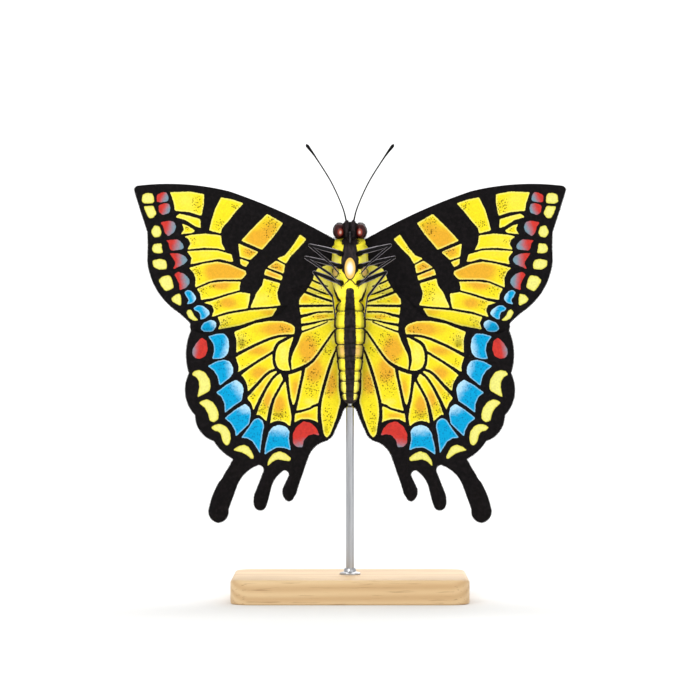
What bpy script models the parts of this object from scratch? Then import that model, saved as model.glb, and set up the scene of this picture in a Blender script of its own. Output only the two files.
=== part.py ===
"""A three-tailed swallowtail butterfly, life size, on a plain display stand.

The butterfly climbs: its head is up (+Z) and its underside faces -Y. Its own right side is at -X.
Lengths are in millimetres, measured outward from the body's middle line (across) and up from the
wing hinges (up), and become metres where an object is made.
"""

import math

import bmesh
import bpy
from mathutils import Vector
from mathutils.geometry import delaunay_2d_cdt, intersect_point_line

MM = 0.001
GAP = 0.3  # between neighbouring solids

# Driving dimensions
WINGSPAN = 108.0  # tip to tip, wings spread
HINGE_HEIGHT = 74.0  # wing hinges above the floor
BASE_SIZE = (58.0, 40.0, 6.0)
ROD_RADIUS = 1.0

HALF_SPAN = WINGSPAN / 2
TAIL_TIP = -55.6  # lowest point of the long tails, from the hinges

# Wing outlines: (across, up, rise of the arc to the next point), round each wing from its hinge.
# A rise above zero bows the edge outward, and one below zero hollows it.
FOREWING = [
    (2.7, 14.1, 0.0),  # hinge
    (4.4, 14.95, 0.75),  # front edge
    (30.0, 27.0, 1.05),
    (53.2, 28.7, 0.35),  # tip
    (HALF_SPAN, 27.3, 0.05),
    (50.7, 17.0, -0.1),  # outer edge
    (50.75, 9.8, 1.5),
    (43.8, -2.5, -0.15),
    (39.9, -5.9, 0.6),  # hind corner
    (38.4, -8.8, 0.5),
    (33.5, -10.2, -0.3),  # hind edge, over the hindwing
    (16.0, -6.3, -0.3),
    (7.5, -2.2, -0.2),
    (4.2, -0.6, 0.0),
    (4.5, 3.0, 0.15),  # beside the thorax
    (4.45, 11.0, 0.1),
]
HINDWING = [
    (4.05, 0.3, 0.0),  # shoulder
    (10.8, 1.75, 0.55),
    (14.2, 0.2, -0.1),
    (17.5, -3.6, -0.35),
    (30.0, -6.9, 0.1),
    (36.5, -8.4, -0.1),
    (39.5, -7.3, 1.05),  # outer edge: four scallops
    (40.15, -18.3, 1.7),
    (38.6, -28.8, 1.3),
    (33.9, -35.2, 0.45),
    (29.1, -39.6, -0.1),  # long tail
    (32.4, -45.0, 0.35),
    (35.2, -52.0, 1.0),
    (32.8, TAIL_TIP, 0.95),
    (30.2, -52.2, 0.0),
    (27.9, -46.0, -0.75),
    (22.7, -41.1, -0.45),
    (21.5, -42.6, 0.0),  # short tail
    (23.65, -48.0, 0.2),
    (23.9, -51.0, 1.45),
    (20.7, -51.0, 0.05),
    (19.6, -47.0, -0.55),
    (16.4, -42.4, -0.4),
    (15.2, -43.6, 0.0),  # inner tail
    (16.7, -46.8, 0.3),
    (16.3, -49.3, 0.9),
    (13.9, -49.1, 0.15),
    (13.0, -47.0, 0.0),
    (10.2, -38.8, -0.65),
    (6.0, -35.1, 0.45),  # inner lobe
    (3.5, -33.0, 0.1),
    (1.5, -27.0, 0.0),
    (2.1, -23.0, 0.0),
    (3.0, -14.5, 0.0),
    (3.7, -6.5, 0.0),
    (4.15, -2.5, 0.0),
]
# The stout veins, from the hinge outward: (across, up)
FOREWING_VEINS = [
    [(5.0, 12.6), (14.0, 17.4), (24.0, 21.0), (30.0, 21.6), (37.0, 20.8), (44.0, 21.8), (51.0, 20.6)],
    [(29.5, 19.0), (31.5, 16.4), (37.0, 16.6), (43.0, 16.0), (49.5, 15.2)],
    [(29.6, 14.5), (31.3, 12.2), (36.0, 12.7), (42.0, 12.2), (49.6, 11.2)],
    [(26.2, 7.7), (29.0, 9.0), (33.5, 9.8), (40.0, 8.5), (49.2, 6.6)],
    [(24.9, 4.3), (30.0, 5.1), (34.0, 4.7), (38.6, 2.9), (46.5, 1.9)],
    [(5.0, 7.0), (13.0, 3.2), (24.5, 2.0), (32.0, 1.1), (37.0, 0.0), (43.6, -1.5)],
    [(5.2, 3.4), (11.0, 0.2), (17.5, -1.7), (25.0, -2.3), (34.5, -4.1), (39.6, -5.0)],
]
HINDWING_VEINS = [
    [(5.0, -0.4), (12.7, -1.6)],
    [(5.0, -3.0), (12.4, -7.0), (14.0, -8.8), (20.0, -9.6), (28.3, -13.8), (34.0, -14.8), (39.9, -16.0)],
    [(19.0, -12.9), (23.0, -15.4), (28.0, -18.6), (38.6, -24.2)],
    [(18.3, -17.4), (22.5, -20.6), (26.6, -25.2), (37.4, -32.2)],
    [(16.9, -19.2), (19.5, -25.5), (20.6, -31.0), (22.0, -39.6)],
    [(15.6, -19.0), (14.4, -27.0), (14.4, -33.0), (14.3, -41.0)],
    [(4.4, -8.4), (7.2, -12.5), (12.5, -17.0), (15.6, -18.0)],
    [(4.2, -13.4), (6.2, -20.0), (7.6, -27.0), (7.4, -33.6)],
]
VEIN_RISE = 0.16  # above each face of the wing
VEIN_HALF_WIDTH = 0.4
ARC_STEP = math.radians(18)  # turn of an edge between two of its points
EDGE_STEP = 4.0
GRID_STEP = 6.0  # of the inner points that let a wing bend

# Body: (up, half width) along each turned piece, and its depth as a share of its width
THORAX = [
    (14.7, 2.2), (14.2, 3.0), (12.8, 4.0), (10.0, 4.5), (6.5, 4.55), (3.0, 4.2), (0.8, 3.6), (-0.2, 2.6)
]
THORAX_DEPTH = 0.9
THORAX_SQUARENESS = 2.5  # 2 is round; above it the shoulders that carry the wings fill out
ABDOMEN_JOINTS = [-0.5, -2.9, -7.2, -11.2, -14.5, -17.7, -20.2, -23.2, -25.9]
ABDOMEN_WIDTHS = [3.6, 4.1, 4.05, 3.6, 3.3, 2.95, 2.7, 2.2]
ABDOMEN_DEPTH = 0.85
JOINT_DEPTH = 0.35  # how far the rings' joints are sunk

EYE = {"centre": (2.75, -0.5, 17.1), "radii": (1.5, 1.75, 2.0)}
HEAD = {"centre": (0.0, -0.3, 17.2), "radii": (2.3, 2.3, 2.2)}
PALP = {"across": 0.75, "path": [(-2.75, 15.5), (-3.3, 16.9), (-3.1, 18.3), (-2.6, 19.6)], "radius": 0.55}
TONGUE = {"centre": (-3.9, 15.0), "outer": 1.45, "pitch": 0.85, "turns": 1.5, "radius": 0.27}
ANTENNA = [(0.95, 0.2, 19.45), (1.9, 0.8, 23.0), (4.6, 1.8, 29.0), (8.3, 2.9, 35.0), (10.6, 3.4, 38.2)]
ANTENNA_RADII = [0.27, 0.25, 0.25, 0.3, 0.5]

# Legs, folded as in flight: hip, knee, ankle and toe
LEGS = {
    "front": [(2.5, -3.95, 11.5), (3.2, -4.5, 11.6), (10.2, -3.5, 13.4), (5.2, -5.5, 9.2), (2.7, -6.0, 6.3)],
    "middle": [(2.7, -3.9, 8.3), (3.4, -4.4, 8.4), (11.2, -3.4, 10.4), (4.7, -5.6, 6.0), (2.1, -6.1, 3.1)],
    "hind": [(2.4, -3.95, 4.2), (3.0, -4.3, 4.3), (9.1, -3.3, 6.8), (4.3, -4.9, 0.6), (3.6, -4.9, -4.6)],
}
LEG_RADII = [0.55, 0.5, 0.4, 0.3, 0.25]
KNEE_BEND = 0.75  # radius of the fold at a joint of a leg


# ---------------------------------------------------------------- shared tools

def material(name, colour, roughness, metallic=0.0):
    made = bpy.data.materials.new(name)
    made.use_nodes = True
    shader = made.node_tree.nodes["Principled BSDF"]
    shader.inputs["Base Color"].default_value = (*colour, 1)
    shader.inputs["Roughness"].default_value = roughness
    shader.inputs["Metallic"].default_value = metallic
    made.diffuse_color = (*colour, 1)
    return made


def place(across, depth, up):
    """A point of the butterfly, in millimetres above the floor."""
    return Vector((across, depth, up + HINGE_HEIGHT))


def add_object(name, bm, finish, smooth=True):
    """Turns a closed shape drawn in millimetres into an object in metres."""
    bm.normal_update()
    bmesh.ops.recalc_face_normals(bm, faces=bm.faces)
    bmesh.ops.scale(bm, verts=bm.verts, vec=(MM, MM, MM))
    mesh = bpy.data.meshes.new(name)
    bm.to_mesh(mesh)
    bm.free()
    mesh.materials.append(finish)
    if smooth:
        mesh.shade_smooth()
        mesh.set_sharp_from_angle(angle=math.radians(40))
    obj = bpy.data.objects.new(name, mesh)
    bpy.context.scene.collection.objects.link(obj)
    return obj


def smooth_path(points, steps):
    """Points on a smooth curve through the given ones, some steps to each stretch."""
    ends = [points[0], *points, points[-1]]
    path = []
    for a, b, c, d in zip(ends, ends[1:], ends[2:], ends[3:]):
        for i in range(steps):
            t = i / steps
            path.append([
                0.5 * (2 * q + (r - p) * t + (2 * p - 5 * q + 4 * r - s) * t * t
                       + (3 * q - p - 3 * r + s) * t ** 3)
                for p, q, r, s in zip(a, b, c, d)
            ])
    path.append(list(points[-1]))
    return path


def arc(start, end, rise):
    """Points from start up to, but not including, end on an arc that bows out to the left by rise."""
    chord = (end - start).length
    along = (end - start) / chord
    left = Vector((-along.y, along.x))
    turn = 4 * math.atan(2 * abs(rise) / chord)
    steps = max(1, math.ceil(turn / ARC_STEP), math.ceil(chord / EDGE_STEP))
    if abs(rise) < 1e-6:
        return [start.lerp(end, i / steps) for i in range(steps)]
    radius = chord / 2 / math.sin(turn / 2)
    side = math.copysign(1, rise)
    centre = start.lerp(end, 0.5) + left * (rise - side * radius)
    points = []
    for i in range(steps):
        angle = turn * (i / steps - 0.5)
        points.append(centre + radius * (along * math.sin(angle) + side * left * math.cos(angle)))
    return points


def outline(corners):
    points = []
    for (x, z, rise), (x_next, z_next, _) in zip(corners, corners[1:] + corners[:1]):
        points += arc(Vector((x, z)), Vector((x_next, z_next)), rise)
    return points


# ---------------------------------------------------------------- wings

def sweep_back(across):
    """How far a wing lies behind its hinge: it rises a little towards the tip."""
    reach = max(0.0, across - 4)
    return 0.07 * reach + 0.0016 * reach ** 2


def forewing_depth(across, up):
    twist = -0.035 * (up - 8) * across / HALF_SPAN
    return 2.4 + sweep_back(across) + twist


def hindwing_depth(across, up):
    """The inner edge tucks in behind the abdomen, and the tails trail backward."""
    beside_body = 1.9 * math.exp(-max(0.0, across - 3) / 2.2) * min(1.0, max(0.0, -(up + 1.5) / 5))
    tail_lift = 0.004 * min(0.0, up + 38) ** 2
    return 1.15 + sweep_back(across) + beside_body + tail_lift


def distance_to(point, line):
    """From a point to the nearest place on a line of points."""
    nearest = math.inf
    for a, b in zip(line, line[1:]):
        foot, share = intersect_point_line(point, a, b)
        foot = a if share < 0 else b if share > 1 else foot
        nearest = min(nearest, (point - foot).length)
    return nearest


def half_thickness(point, vein_lines):
    """Thickest at the hinge, 0.5 mm in all towards the edges, and ridged along each vein."""
    from_hinge = (point - Vector((4, 2))).length
    from_vein = min(distance_to(point, line) for line in vein_lines)
    ridge = VEIN_RISE * max(0.0, 1 - from_vein / VEIN_HALF_WIDTH)
    return 0.25 + 0.17 * math.exp(-from_hinge / 10) + ridge


def side_line(line, offset):
    """The line moved sideways by offset."""
    moved = []
    for i, point in enumerate(line):
        along = (line[min(i + 1, len(line) - 1)] - line[max(i - 1, 0)]).normalized()
        moved.append(point + offset * Vector((-along.y, along.x)))
    return moved


def wing_layout(corners, vein_lines):
    """Triangles of the flat wing, with edges along its outline and both sides and the crest of each vein."""
    points = outline(corners)
    edge_count = len(points)
    edge = points + points[:1]
    ties = []
    for line in vein_lines:
        for offset in (-VEIN_HALF_WIDTH, 0.0, VEIN_HALF_WIDTH):
            start = len(points)
            points += side_line(line, offset)
            ties += [(i, i + 1) for i in range(start, len(points) - 1)]
    columns, rows = (range(math.floor(min(p[i] for p in edge)), math.ceil(max(p[i] for p in edge)), int(GRID_STEP))
                     for i in (0, 1))
    for across in columns:
        for up in rows:
            place_here = Vector((across, up))
            if min(distance_to(place_here, line) for line in [edge, *vein_lines]) > GRID_STEP / 3:
                points.append(place_here)
    flat, _, faces, *_ = delaunay_2d_cdt(points, ties, [list(range(edge_count))], 1, 1e-4)
    return flat, faces


def wing(name, corners, veins, depth, side, finish):
    vein_lines = [[Vector(p[:2]) for p in smooth_path(vein, 2)] for vein in veins]
    flat, faces = wing_layout(corners, vein_lines)
    bm = bmesh.new()
    verts = [bm.verts.new((p.x, 0, p.y)) for p in flat]
    for face in faces:
        bm.faces.new([verts[i] for i in face])
    under = set(bm.verts)
    bmesh.ops.extrude_face_region(bm, geom=bm.faces[:])
    for v in bm.verts:
        across, up = v.co.x, v.co.z
        half = half_thickness(Vector((across, up)), vein_lines)
        v.co = place(side * across, depth(across, up) + (-half if v in under else half), up)
    return add_object(name, bm, finish, smooth=False)


# ---------------------------------------------------------------- body

def turned(name, profile, depth_share, finish, segments=20, squareness=2.0):
    """A closed piece turned about the body's middle line, squared a little and flattened from front to back."""
    bm = bmesh.new()
    top, bottom = profile[0][0], profile[-1][0]
    points = [(top, 0.0), *profile, (bottom, 0.0)]
    line = [bm.verts.new((r, 0, up)) for up, r in points]
    for a, b in zip(line, line[1:]):
        bm.edges.new((a, b))
    bmesh.ops.spin(
        bm, geom=bm.verts[:] + bm.edges[:], axis=(0, 0, 1), cent=(0, 0, 0), angle=math.tau,
        steps=segments, use_merge=True, use_duplicate=False,
    )
    bmesh.ops.remove_doubles(bm, verts=bm.verts, dist=1e-4)
    for v in bm.verts:
        reach = math.hypot(v.co.x, v.co.y)
        if reach > 0:
            corner = sum(abs(c / reach) ** squareness for c in v.co.xy) ** (-1 / squareness)
            v.co = Vector((v.co.x * corner, v.co.y * corner, v.co.z))
        v.co = place(v.co.x, v.co.y * depth_share, v.co.z)
    return add_object(name, bm, finish)


def abdomen_profile():
    """Rings that bulge between sunken joints, the last one closing to a blunt tip."""
    rings = list(zip(ABDOMEN_JOINTS, ABDOMEN_JOINTS[1:], ABDOMEN_WIDTHS))
    profile = []
    for i, (start, end, width) in enumerate(rings):
        before = rings[i - 1][2] if i else 3.0
        for share in (0.0, 0.18, 0.5, 0.82):
            drawn_in = JOINT_DEPTH if share == 0 else 0.0
            near = width + (before - width) * max(0.0, 0.5 - share)
            profile.append((start + (end - start) * share, near - drawn_in))
    tip = ABDOMEN_JOINTS[-1]
    profile[-1] = (profile[-1][0], 1.7)
    profile.append((tip, 0.9))
    return profile


def ellipsoid(name, centre, radii, finish, side=1, grow=0.0, segments=16):
    bm = bmesh.new()
    bmesh.ops.create_uvsphere(bm, u_segments=segments, v_segments=segments * 5 // 8, radius=1)
    for v in bm.verts:
        x, y, z = (v.co[i] * (radii[i] + grow) + centre[i] for i in range(3))
        v.co = place(side * x, y, z)
    return add_object(name, bm, finish)


def cut(target, cutter):
    cutter.hide_render = True
    cutter.display_type = "WIRE"
    modifier = target.modifiers.new("cut_" + cutter.name, "BOOLEAN")
    modifier.operation = "DIFFERENCE"
    modifier.object = cutter


def tube(name, points, radii, finish, sides_resolution=1):
    """A round limb through the points, with a radius at each."""
    data = bpy.data.curves.new(name, "CURVE")
    data.dimensions = "3D"
    data.bevel_depth = MM
    data.bevel_resolution = sides_resolution
    data.use_fill_caps = True
    data.twist_mode = "MINIMUM"
    spline = data.splines.new("POLY")
    spline.points.add(len(points) - 1)
    for point, at, radius in zip(spline.points, points, radii):
        point.co = (*(place(*at) * MM), 1)
        point.radius = radius
    data.materials.append(finish)
    obj = bpy.data.objects.new(name, data)
    bpy.context.scene.collection.objects.link(obj)
    return obj


def leg_path(joints, radii):
    """The leg's joints with each fold rounded off, and the radius at every point."""
    points = [Vector(joints[0])]
    sizes = [radii[0]]
    for before, at, after, radius in zip(joints, joints[1:], joints[2:], radii[1:]):
        before, at, after = Vector(before), Vector(at), Vector(after)
        arriving, leaving = (before - at), (after - at)
        half_angle = arriving.angle(leaving) / 2
        bend = min(KNEE_BEND, 0.4 * min(arriving.length, leaving.length) * math.tan(half_angle))
        back = bend / math.tan(half_angle)
        first, last = at + arriving.normalized() * back, at + leaving.normalized() * back
        middle = (arriving.normalized() + leaving.normalized()).normalized()
        centre = at + middle * (bend / math.sin(half_angle))
        steps = max(1, math.ceil((math.pi - 2 * half_angle) / math.radians(36)))
        for i in range(steps + 1):
            spoke = (first - centre).lerp(last - centre, i / steps).normalized()
            points.append(centre + spoke * bend)
            sizes.append(radius)
    points.append(Vector(joints[-1]))
    sizes.append(radii[-1])
    return points, sizes


def leg(name, joints, side, finish):
    points, sizes = leg_path(joints, LEG_RADII)
    tube(name, [(side * p.x, p.y, p.z) for p in points], sizes, finish)


def antenna(name, side, finish):
    path = smooth_path([(*p, r) for p, r in zip(ANTENNA, ANTENNA_RADII)], 4)
    points = [(side * x, y, z) for x, y, z, _ in path]
    radii = [r for *_, r in path]
    beyond = Vector(points[-1]) - Vector(points[-2])
    points.append(Vector(points[-1]) + beyond.normalized() * 0.5)
    radii.append(0.25)
    tube(name, points, radii, finish)


def palp(name, side, finish):
    path = smooth_path([(PALP["across"], *p) for p in PALP["path"]], 3)
    last = len(path) - 1
    radii = [PALP["radius"] * (0.65 + 0.35 * math.sin(math.pi * (0.15 + 0.8 * i / last))) for i in range(last + 1)]
    tube(name, [(side * x, y, z) for x, y, z in path], radii, finish, sides_resolution=2)


def tongue(name, finish):
    """The coiled tongue, a flat spiral under the head."""
    depth, up = TONGUE["centre"]
    points = []
    steps = round(TONGUE["turns"] * 14)
    for i in range(steps + 1):
        angle = math.tau * TONGUE["turns"] * i / steps
        reach = TONGUE["outer"] - TONGUE["pitch"] * angle / math.tau
        points.append((0, depth + reach * math.sin(angle), up + reach * math.cos(angle)))
    tube(name, points, [TONGUE["radius"]] * len(points), finish)


# ---------------------------------------------------------------- stand

def stand_base(finish):
    width, depth, height = BASE_SIZE
    bm = bmesh.new()
    bmesh.ops.create_cube(bm, size=1)
    for v in bm.verts:
        v.co = Vector((v.co.x * width, v.co.y * depth, (v.co.z + 0.5) * height))
    upright = [e for e in bm.edges if abs(e.verts[0].co.z - e.verts[1].co.z) > 0.1]
    bmesh.ops.bevel(bm, geom=upright, offset=5, segments=5, profile=0.5, affect="EDGES", material=-1)
    rim = [e for e in bm.edges if all(v.co.z > height - 0.1 for v in e.verts)]
    bmesh.ops.bevel(bm, geom=rim, offset=0.8, segments=2, profile=0.5, affect="EDGES", material=-1)
    return add_object("stand_base", bm, finish)


def stand_rod(name, low, high, radius, finish):
    """An upright rod between two heights above the floor."""
    bm = bmesh.new()
    bmesh.ops.create_cone(
        bm, cap_ends=True, segments=20, radius1=radius, radius2=radius, depth=high - low
    )
    bmesh.ops.translate(bm, verts=bm.verts, vec=(0, 0, (low + high) / 2))
    return add_object(name, bm, finish)


def main():
    for obj in list(bpy.data.objects):
        bpy.data.objects.remove(obj)

    wing_yellow = material("wing_yellow", (0.85, 0.72, 0.08), 0.7)
    body_fur = material("body_fur", (0.45, 0.38, 0.06), 0.9)
    eye_red = material("eye_red", (0.16, 0.02, 0.02), 0.15)
    black_horn = material("black_horn", (0.02, 0.018, 0.018), 0.4)
    maple = material("maple", (0.72, 0.56, 0.38), 0.45)
    steel = material("steel", (0.6, 0.6, 0.6), 0.3, 1.0)

    turned("thorax", THORAX, THORAX_DEPTH, body_fur, squareness=THORAX_SQUARENESS)
    turned("abdomen", abdomen_profile(), ABDOMEN_DEPTH, body_fur, segments=16)
    head = ellipsoid("head", **HEAD, finish=body_fur)
    tongue("tongue", black_horn)

    for word, side in (("right", -1), ("left", 1)):
        wing(f"forewing_{word}", FOREWING, FOREWING_VEINS, forewing_depth, side, wing_yellow)
        wing(f"hindwing_{word}", HINDWING, HINDWING_VEINS, hindwing_depth, side, wing_yellow)
        ellipsoid(f"eye_{word}", **EYE, finish=eye_red, side=side)
        cut(head, ellipsoid(f"eye_socket_{word}", **EYE, finish=eye_red, side=side, grow=GAP))
        antenna(f"antenna_{word}", side, black_horn)
        palp(f"palp_{word}", side, body_fur)
        for place_name, joints in LEGS.items():
            leg(f"leg_{place_name}_{word}", joints, side, black_horn)

    base_top = BASE_SIZE[2]
    rod_top = HINGE_HEIGHT + ABDOMEN_JOINTS[-1] - GAP
    stand_base(maple)
    stand_rod("stand_rod", base_top + GAP, rod_top, ROD_RADIUS, steel)


main()
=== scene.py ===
# A three-tailed swallowtail butterfly on its stand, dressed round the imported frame.
# Lengths are in millimetres: across = out from the middle line, up = from the wing hinges,
# depth = towards the butterfly's back. They become metres where a piece is made.
import math

import bmesh
import bpy
import numpy as np
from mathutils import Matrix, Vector


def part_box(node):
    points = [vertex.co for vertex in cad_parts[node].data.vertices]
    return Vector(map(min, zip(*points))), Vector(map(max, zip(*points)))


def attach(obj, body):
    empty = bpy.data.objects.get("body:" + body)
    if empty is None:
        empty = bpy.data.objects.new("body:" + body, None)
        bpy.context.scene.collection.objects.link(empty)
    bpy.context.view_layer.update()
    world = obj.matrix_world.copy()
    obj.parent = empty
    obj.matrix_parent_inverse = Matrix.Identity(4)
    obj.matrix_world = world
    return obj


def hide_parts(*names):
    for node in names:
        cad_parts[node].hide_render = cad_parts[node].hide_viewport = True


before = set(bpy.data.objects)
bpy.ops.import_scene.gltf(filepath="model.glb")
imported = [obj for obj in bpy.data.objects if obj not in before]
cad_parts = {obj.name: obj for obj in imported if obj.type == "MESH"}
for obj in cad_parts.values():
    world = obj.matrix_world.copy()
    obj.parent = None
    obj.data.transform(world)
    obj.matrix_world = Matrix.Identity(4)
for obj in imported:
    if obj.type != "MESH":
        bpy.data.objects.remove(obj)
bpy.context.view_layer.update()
mm = 0.001
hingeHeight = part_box("abdomen")[1].z / mm + 0.5  # the abdomen's top lies 0.5 mm below the hinges
sides = {"right": -1, "left": 1}
sameSpot = 0.0000001  # metres within which points are merged
tiny = 0.000000001  # keeps a length that is divided by above 0
nearly = 0.01  # mm by which two heights may differ and still be level
sharpFrom = math.radians(35)  # turned and planed edges steeper than this stay crisp


class Sock:  # a shader socket that does arithmetic
    def __init__(self, paint, socket):
        self.paint = paint
        self.socket = socket

    def __add__(self, other):
        return self.paint.math("ADD", self, other)

    def __radd__(self, other):
        return self.paint.math("ADD", other, self)

    def __sub__(self, other):
        return self.paint.math("SUBTRACT", self, other)

    def __rsub__(self, other):
        return self.paint.math("SUBTRACT", other, self)

    def __mul__(self, other):
        return self.paint.math("MULTIPLY", self, other)

    def __rmul__(self, other):
        return self.paint.math("MULTIPLY", other, self)


class Paint:  # one material, its node tree and its Principled shader
    def __init__(self, name, finish):
        self.material = bpy.data.materials.new(name)
        self.material.use_nodes = True
        self.tree = self.material.node_tree
        self.shader = self.tree.nodes["Principled BSDF"]
        for socket, value in finish.items():
            self.shader.inputs[socket].default_value = value

    def node(self, kind, settings=None, sockets=None, out=0):
        made = self.tree.nodes.new("ShaderNode" + kind)
        for key, value in (settings or {}).items():
            setattr(made, key, value)
        for key, value in (sockets or {}).items():
            self.feed(made.inputs[key], value)
        return Sock(self, made.outputs[out])

    def feed(self, socket, value):
        if isinstance(value, Sock):
            self.tree.links.new(value.socket, socket)
        else:
            socket.default_value = value

    def math(self, operation, a, b):
        return self.node("Math", {"operation": operation}, {0: a, 1: b})

    def attribute(self, name):
        return self.node("Attribute", {"attribute_name": name}, out="Fac")

    def step(self, value, low, high):  # 0 below low, 1 above high
        return self.node("MapRange", {"interpolation_type": "SMOOTHSTEP"}, {0: value, 1: low, 2: high})

    def mix(self, share, a, b):  # sockets 6 and 7 hold the two colours, output 2 the mixed one
        return self.node("Mix", {"data_type": "RGBA"}, {0: share, 6: a, 7: b}, out=2)

    def here(self, stretch=(1, 1, 1)):  # the piece's own coordinates, in metres
        spot = self.node("TexCoord", out="Object")
        if stretch == (1, 1, 1):
            return spot
        return self.node("Mapping", sockets={"Vector": spot, "Scale": stretch})

    def noise(self, size, stretch=(1, 1, 1), detail=2.0):  # size of its blotches in mm
        return self.node("TexNoise", sockets={
            "Vector": self.here(stretch), "Scale": 1 / (size * mm), "Detail": detail,
        })

    def cells(self, size, stretch=(1, 1, 1), out="Distance"):  # size of a cell in mm
        return self.node("TexVoronoi", sockets={
            "Vector": self.here(stretch), "Scale": 1 / (size * mm),
        }, out=out)

    def shimmer(self, colour, tone, least, gain):  # brighter where the tone is higher
        return self.node("HueSaturation", sockets={"Color": colour, "Value": least + gain * tone})

    def bump(self, height, depth, strength):  # depth in mm
        made = self.node("Bump", sockets={"Height": height, "Distance": depth * mm, "Strength": strength})
        self.feed(self.shader.inputs["Normal"], made)

    def colour(self, value):
        self.feed(self.shader.inputs["Base Color"], value)

    def roughness(self, value):
        self.feed(self.shader.inputs["Roughness"], value)


def tint(red, green, blue):  # a colour as a screen shows it, 0 to 255
    def linear(part):
        part /= 255
        return part / 12.92 if part <= 0.04045 else ((part + 0.055) / 1.055) ** 2.4
    return (linear(red), linear(green), linear(blue), 1.0)


def curve(points, steps):  # a smooth line through points of any size
    points = np.array(points, float)
    padded = np.vstack([points[:1], points, points[-1:]])
    t = (np.arange(steps) / steps)[:, None]
    made = []
    for p, q, r, s in zip(padded, padded[1:], padded[2:], padded[3:]):
        made.append(0.5 * (2 * q + (r - p) * t + (2 * p - 5 * q + 4 * r - s) * t ** 2
                           + (3 * q - p - 3 * r + s) * t ** 3))
    return np.vstack(made + [points[-1:]])


def arcPoints(start, end, rise, spacing):  # rise > 0 bows to the left of the way it runs
    start, end = np.array(start, float), np.array(end, float)
    chord = np.linalg.norm(end - start)
    steps = max(1, math.ceil(chord / spacing))
    t = (np.arange(steps) / steps)[:, None]
    if rise == 0:
        return start + (end - start) * t
    along = (end - start) / chord
    left = np.array([-along[1], along[0]])
    turn = 4 * math.atan(2 * abs(rise) / chord)
    radius = chord / 2 / math.sin(turn / 2)
    side = math.copysign(1, rise)
    centre = (start + end) / 2 + left * (rise - side * radius)
    angle = turn * (t - 0.5)
    return centre + radius * (along * np.sin(angle) + side * left * np.cos(angle))


def outline(corners, spacing):  # the closed line through corners that are joined by arcs
    nextOnes = corners[1:] + corners[:1]
    return np.vstack([arcPoints(a[:2], b[:2], a[2], spacing) for a, b in zip(corners, nextOnes)])


def drawnIn(loop, distance):  # the closed line moved inwards, for a loop that runs clockwise
    along = np.roll(loop, -1, axis=0) - np.roll(loop, 1, axis=0)
    along /= np.linalg.norm(along, axis=1)[:, None]
    return loop + distance * np.column_stack([along[:, 1], -along[:, 0]])


def ramp(value, start, span):  # from 0 at the start to 1 at the end of the span
    return np.clip((value - start) / span, 0, 1)


def bell(value, middle, width):  # 1 in the middle, and soon 0 past the width
    return np.exp(-((value - middle) / width) ** 2)


def unit(vectors):
    return vectors / np.maximum(np.linalg.norm(vectors, axis=-1, keepdims=True), tiny)


def place(across, depth, up):
    return (across * mm, depth * mm, (up + hingeHeight) * mm)


def toMesh(name, bm):
    mesh = bpy.data.meshes.new(name)
    bm.to_mesh(mesh)
    bm.free()
    return mesh


def addObject(name, mesh, paint):
    mesh.materials.append(paint.material)
    mesh.shade_smooth()
    made = bpy.data.objects.new(name, mesh)
    bpy.context.scene.collection.objects.link(made)
    return made


def addPiece(name, mesh, paint):
    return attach(addObject(name, mesh, paint), "root")


def vertexSpots(mesh):  # one row for each vertex
    spots = np.empty(len(mesh.vertices) * 3, np.float32)
    mesh.vertices.foreach_get("co", spots)
    return spots.reshape(-1, 3)


def setAttribute(mesh, name, values):
    made = mesh.attributes.new(name, "FLOAT", "POINT")
    made.data.foreach_set("value", np.asarray(values, np.float32))


def addMap(mesh, spots):  # the map that the materials are baked on, with one place for each vertex
    corner = np.empty(len(mesh.loops), np.int32)
    mesh.loops.foreach_get("vertex_index", corner)
    layer = mesh.uv_layers.new(name="OFBake")
    layer.uv.foreach_set("vector", spots[corner].astype(np.float32).ravel())


# corners of the wings as (across, up, rise of the arc to the next corner), clockwise from the hinge
forewingShape = [
    (2.7, 14.6, 0.0), (4.2, 15.3, 0.7), (30.0, 27.1, 1.05), (53.2, 28.7, 0.35), (54.0, 27.3, 0.05),
    (50.7, 17.0, -0.1), (50.75, 9.8, 1.5), (43.8, -2.5, -0.15), (39.9, -5.9, 0.6), (38.4, -8.8, 0.5),
    (33.5, -10.2, -0.3), (16.0, -6.3, -0.3), (7.5, -2.2, -0.2), (2.5, -1.2, 0.0), (3.0, 3.0, 0.15),
    (3.4, 11.0, 0.1),
]
hindwingShape = [
    (2.3, 0.9, 0.0), (10.8, 1.75, 0.55), (14.2, 0.2, -0.1), (17.5, -3.6, -0.35), (30.0, -6.9, 0.1),
    (36.5, -8.4, -0.1), (39.5, -7.3, 1.05), (40.15, -18.3, 1.7), (38.6, -28.8, 1.3), (33.9, -35.2, 0.45),
    (29.1, -39.6, -0.1), (32.4, -45.0, 0.35), (35.2, -52.0, 1.0), (32.8, -55.6, 0.95), (30.2, -52.2, 0.0),
    (27.9, -46.0, -0.75), (22.7, -41.1, -0.45), (21.5, -42.6, 0.0), (23.65, -48.0, 0.2),
    (23.9, -51.0, 1.45), (20.7, -51.0, 0.05), (19.6, -47.0, -0.55), (16.4, -42.4, -0.4),
    (15.2, -43.6, 0.0), (16.7, -46.8, 0.3), (16.3, -49.3, 0.9), (13.9, -49.1, 0.15), (13.0, -47.0, 0.0),
    (10.2, -38.8, -0.65), (6.0, -35.1, 0.45), (3.7, -32.4, 0.1), (1.75, -27.9, -0.3), (0.3, -26.5, 0.0),
    (0.35, -25.2, 0.0), (1.6, -23.0, 0.0), (2.6, -14.5, 0.0), (3.15, -6.5, 0.0), (2.4, -2.5, 0.0),
]
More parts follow.
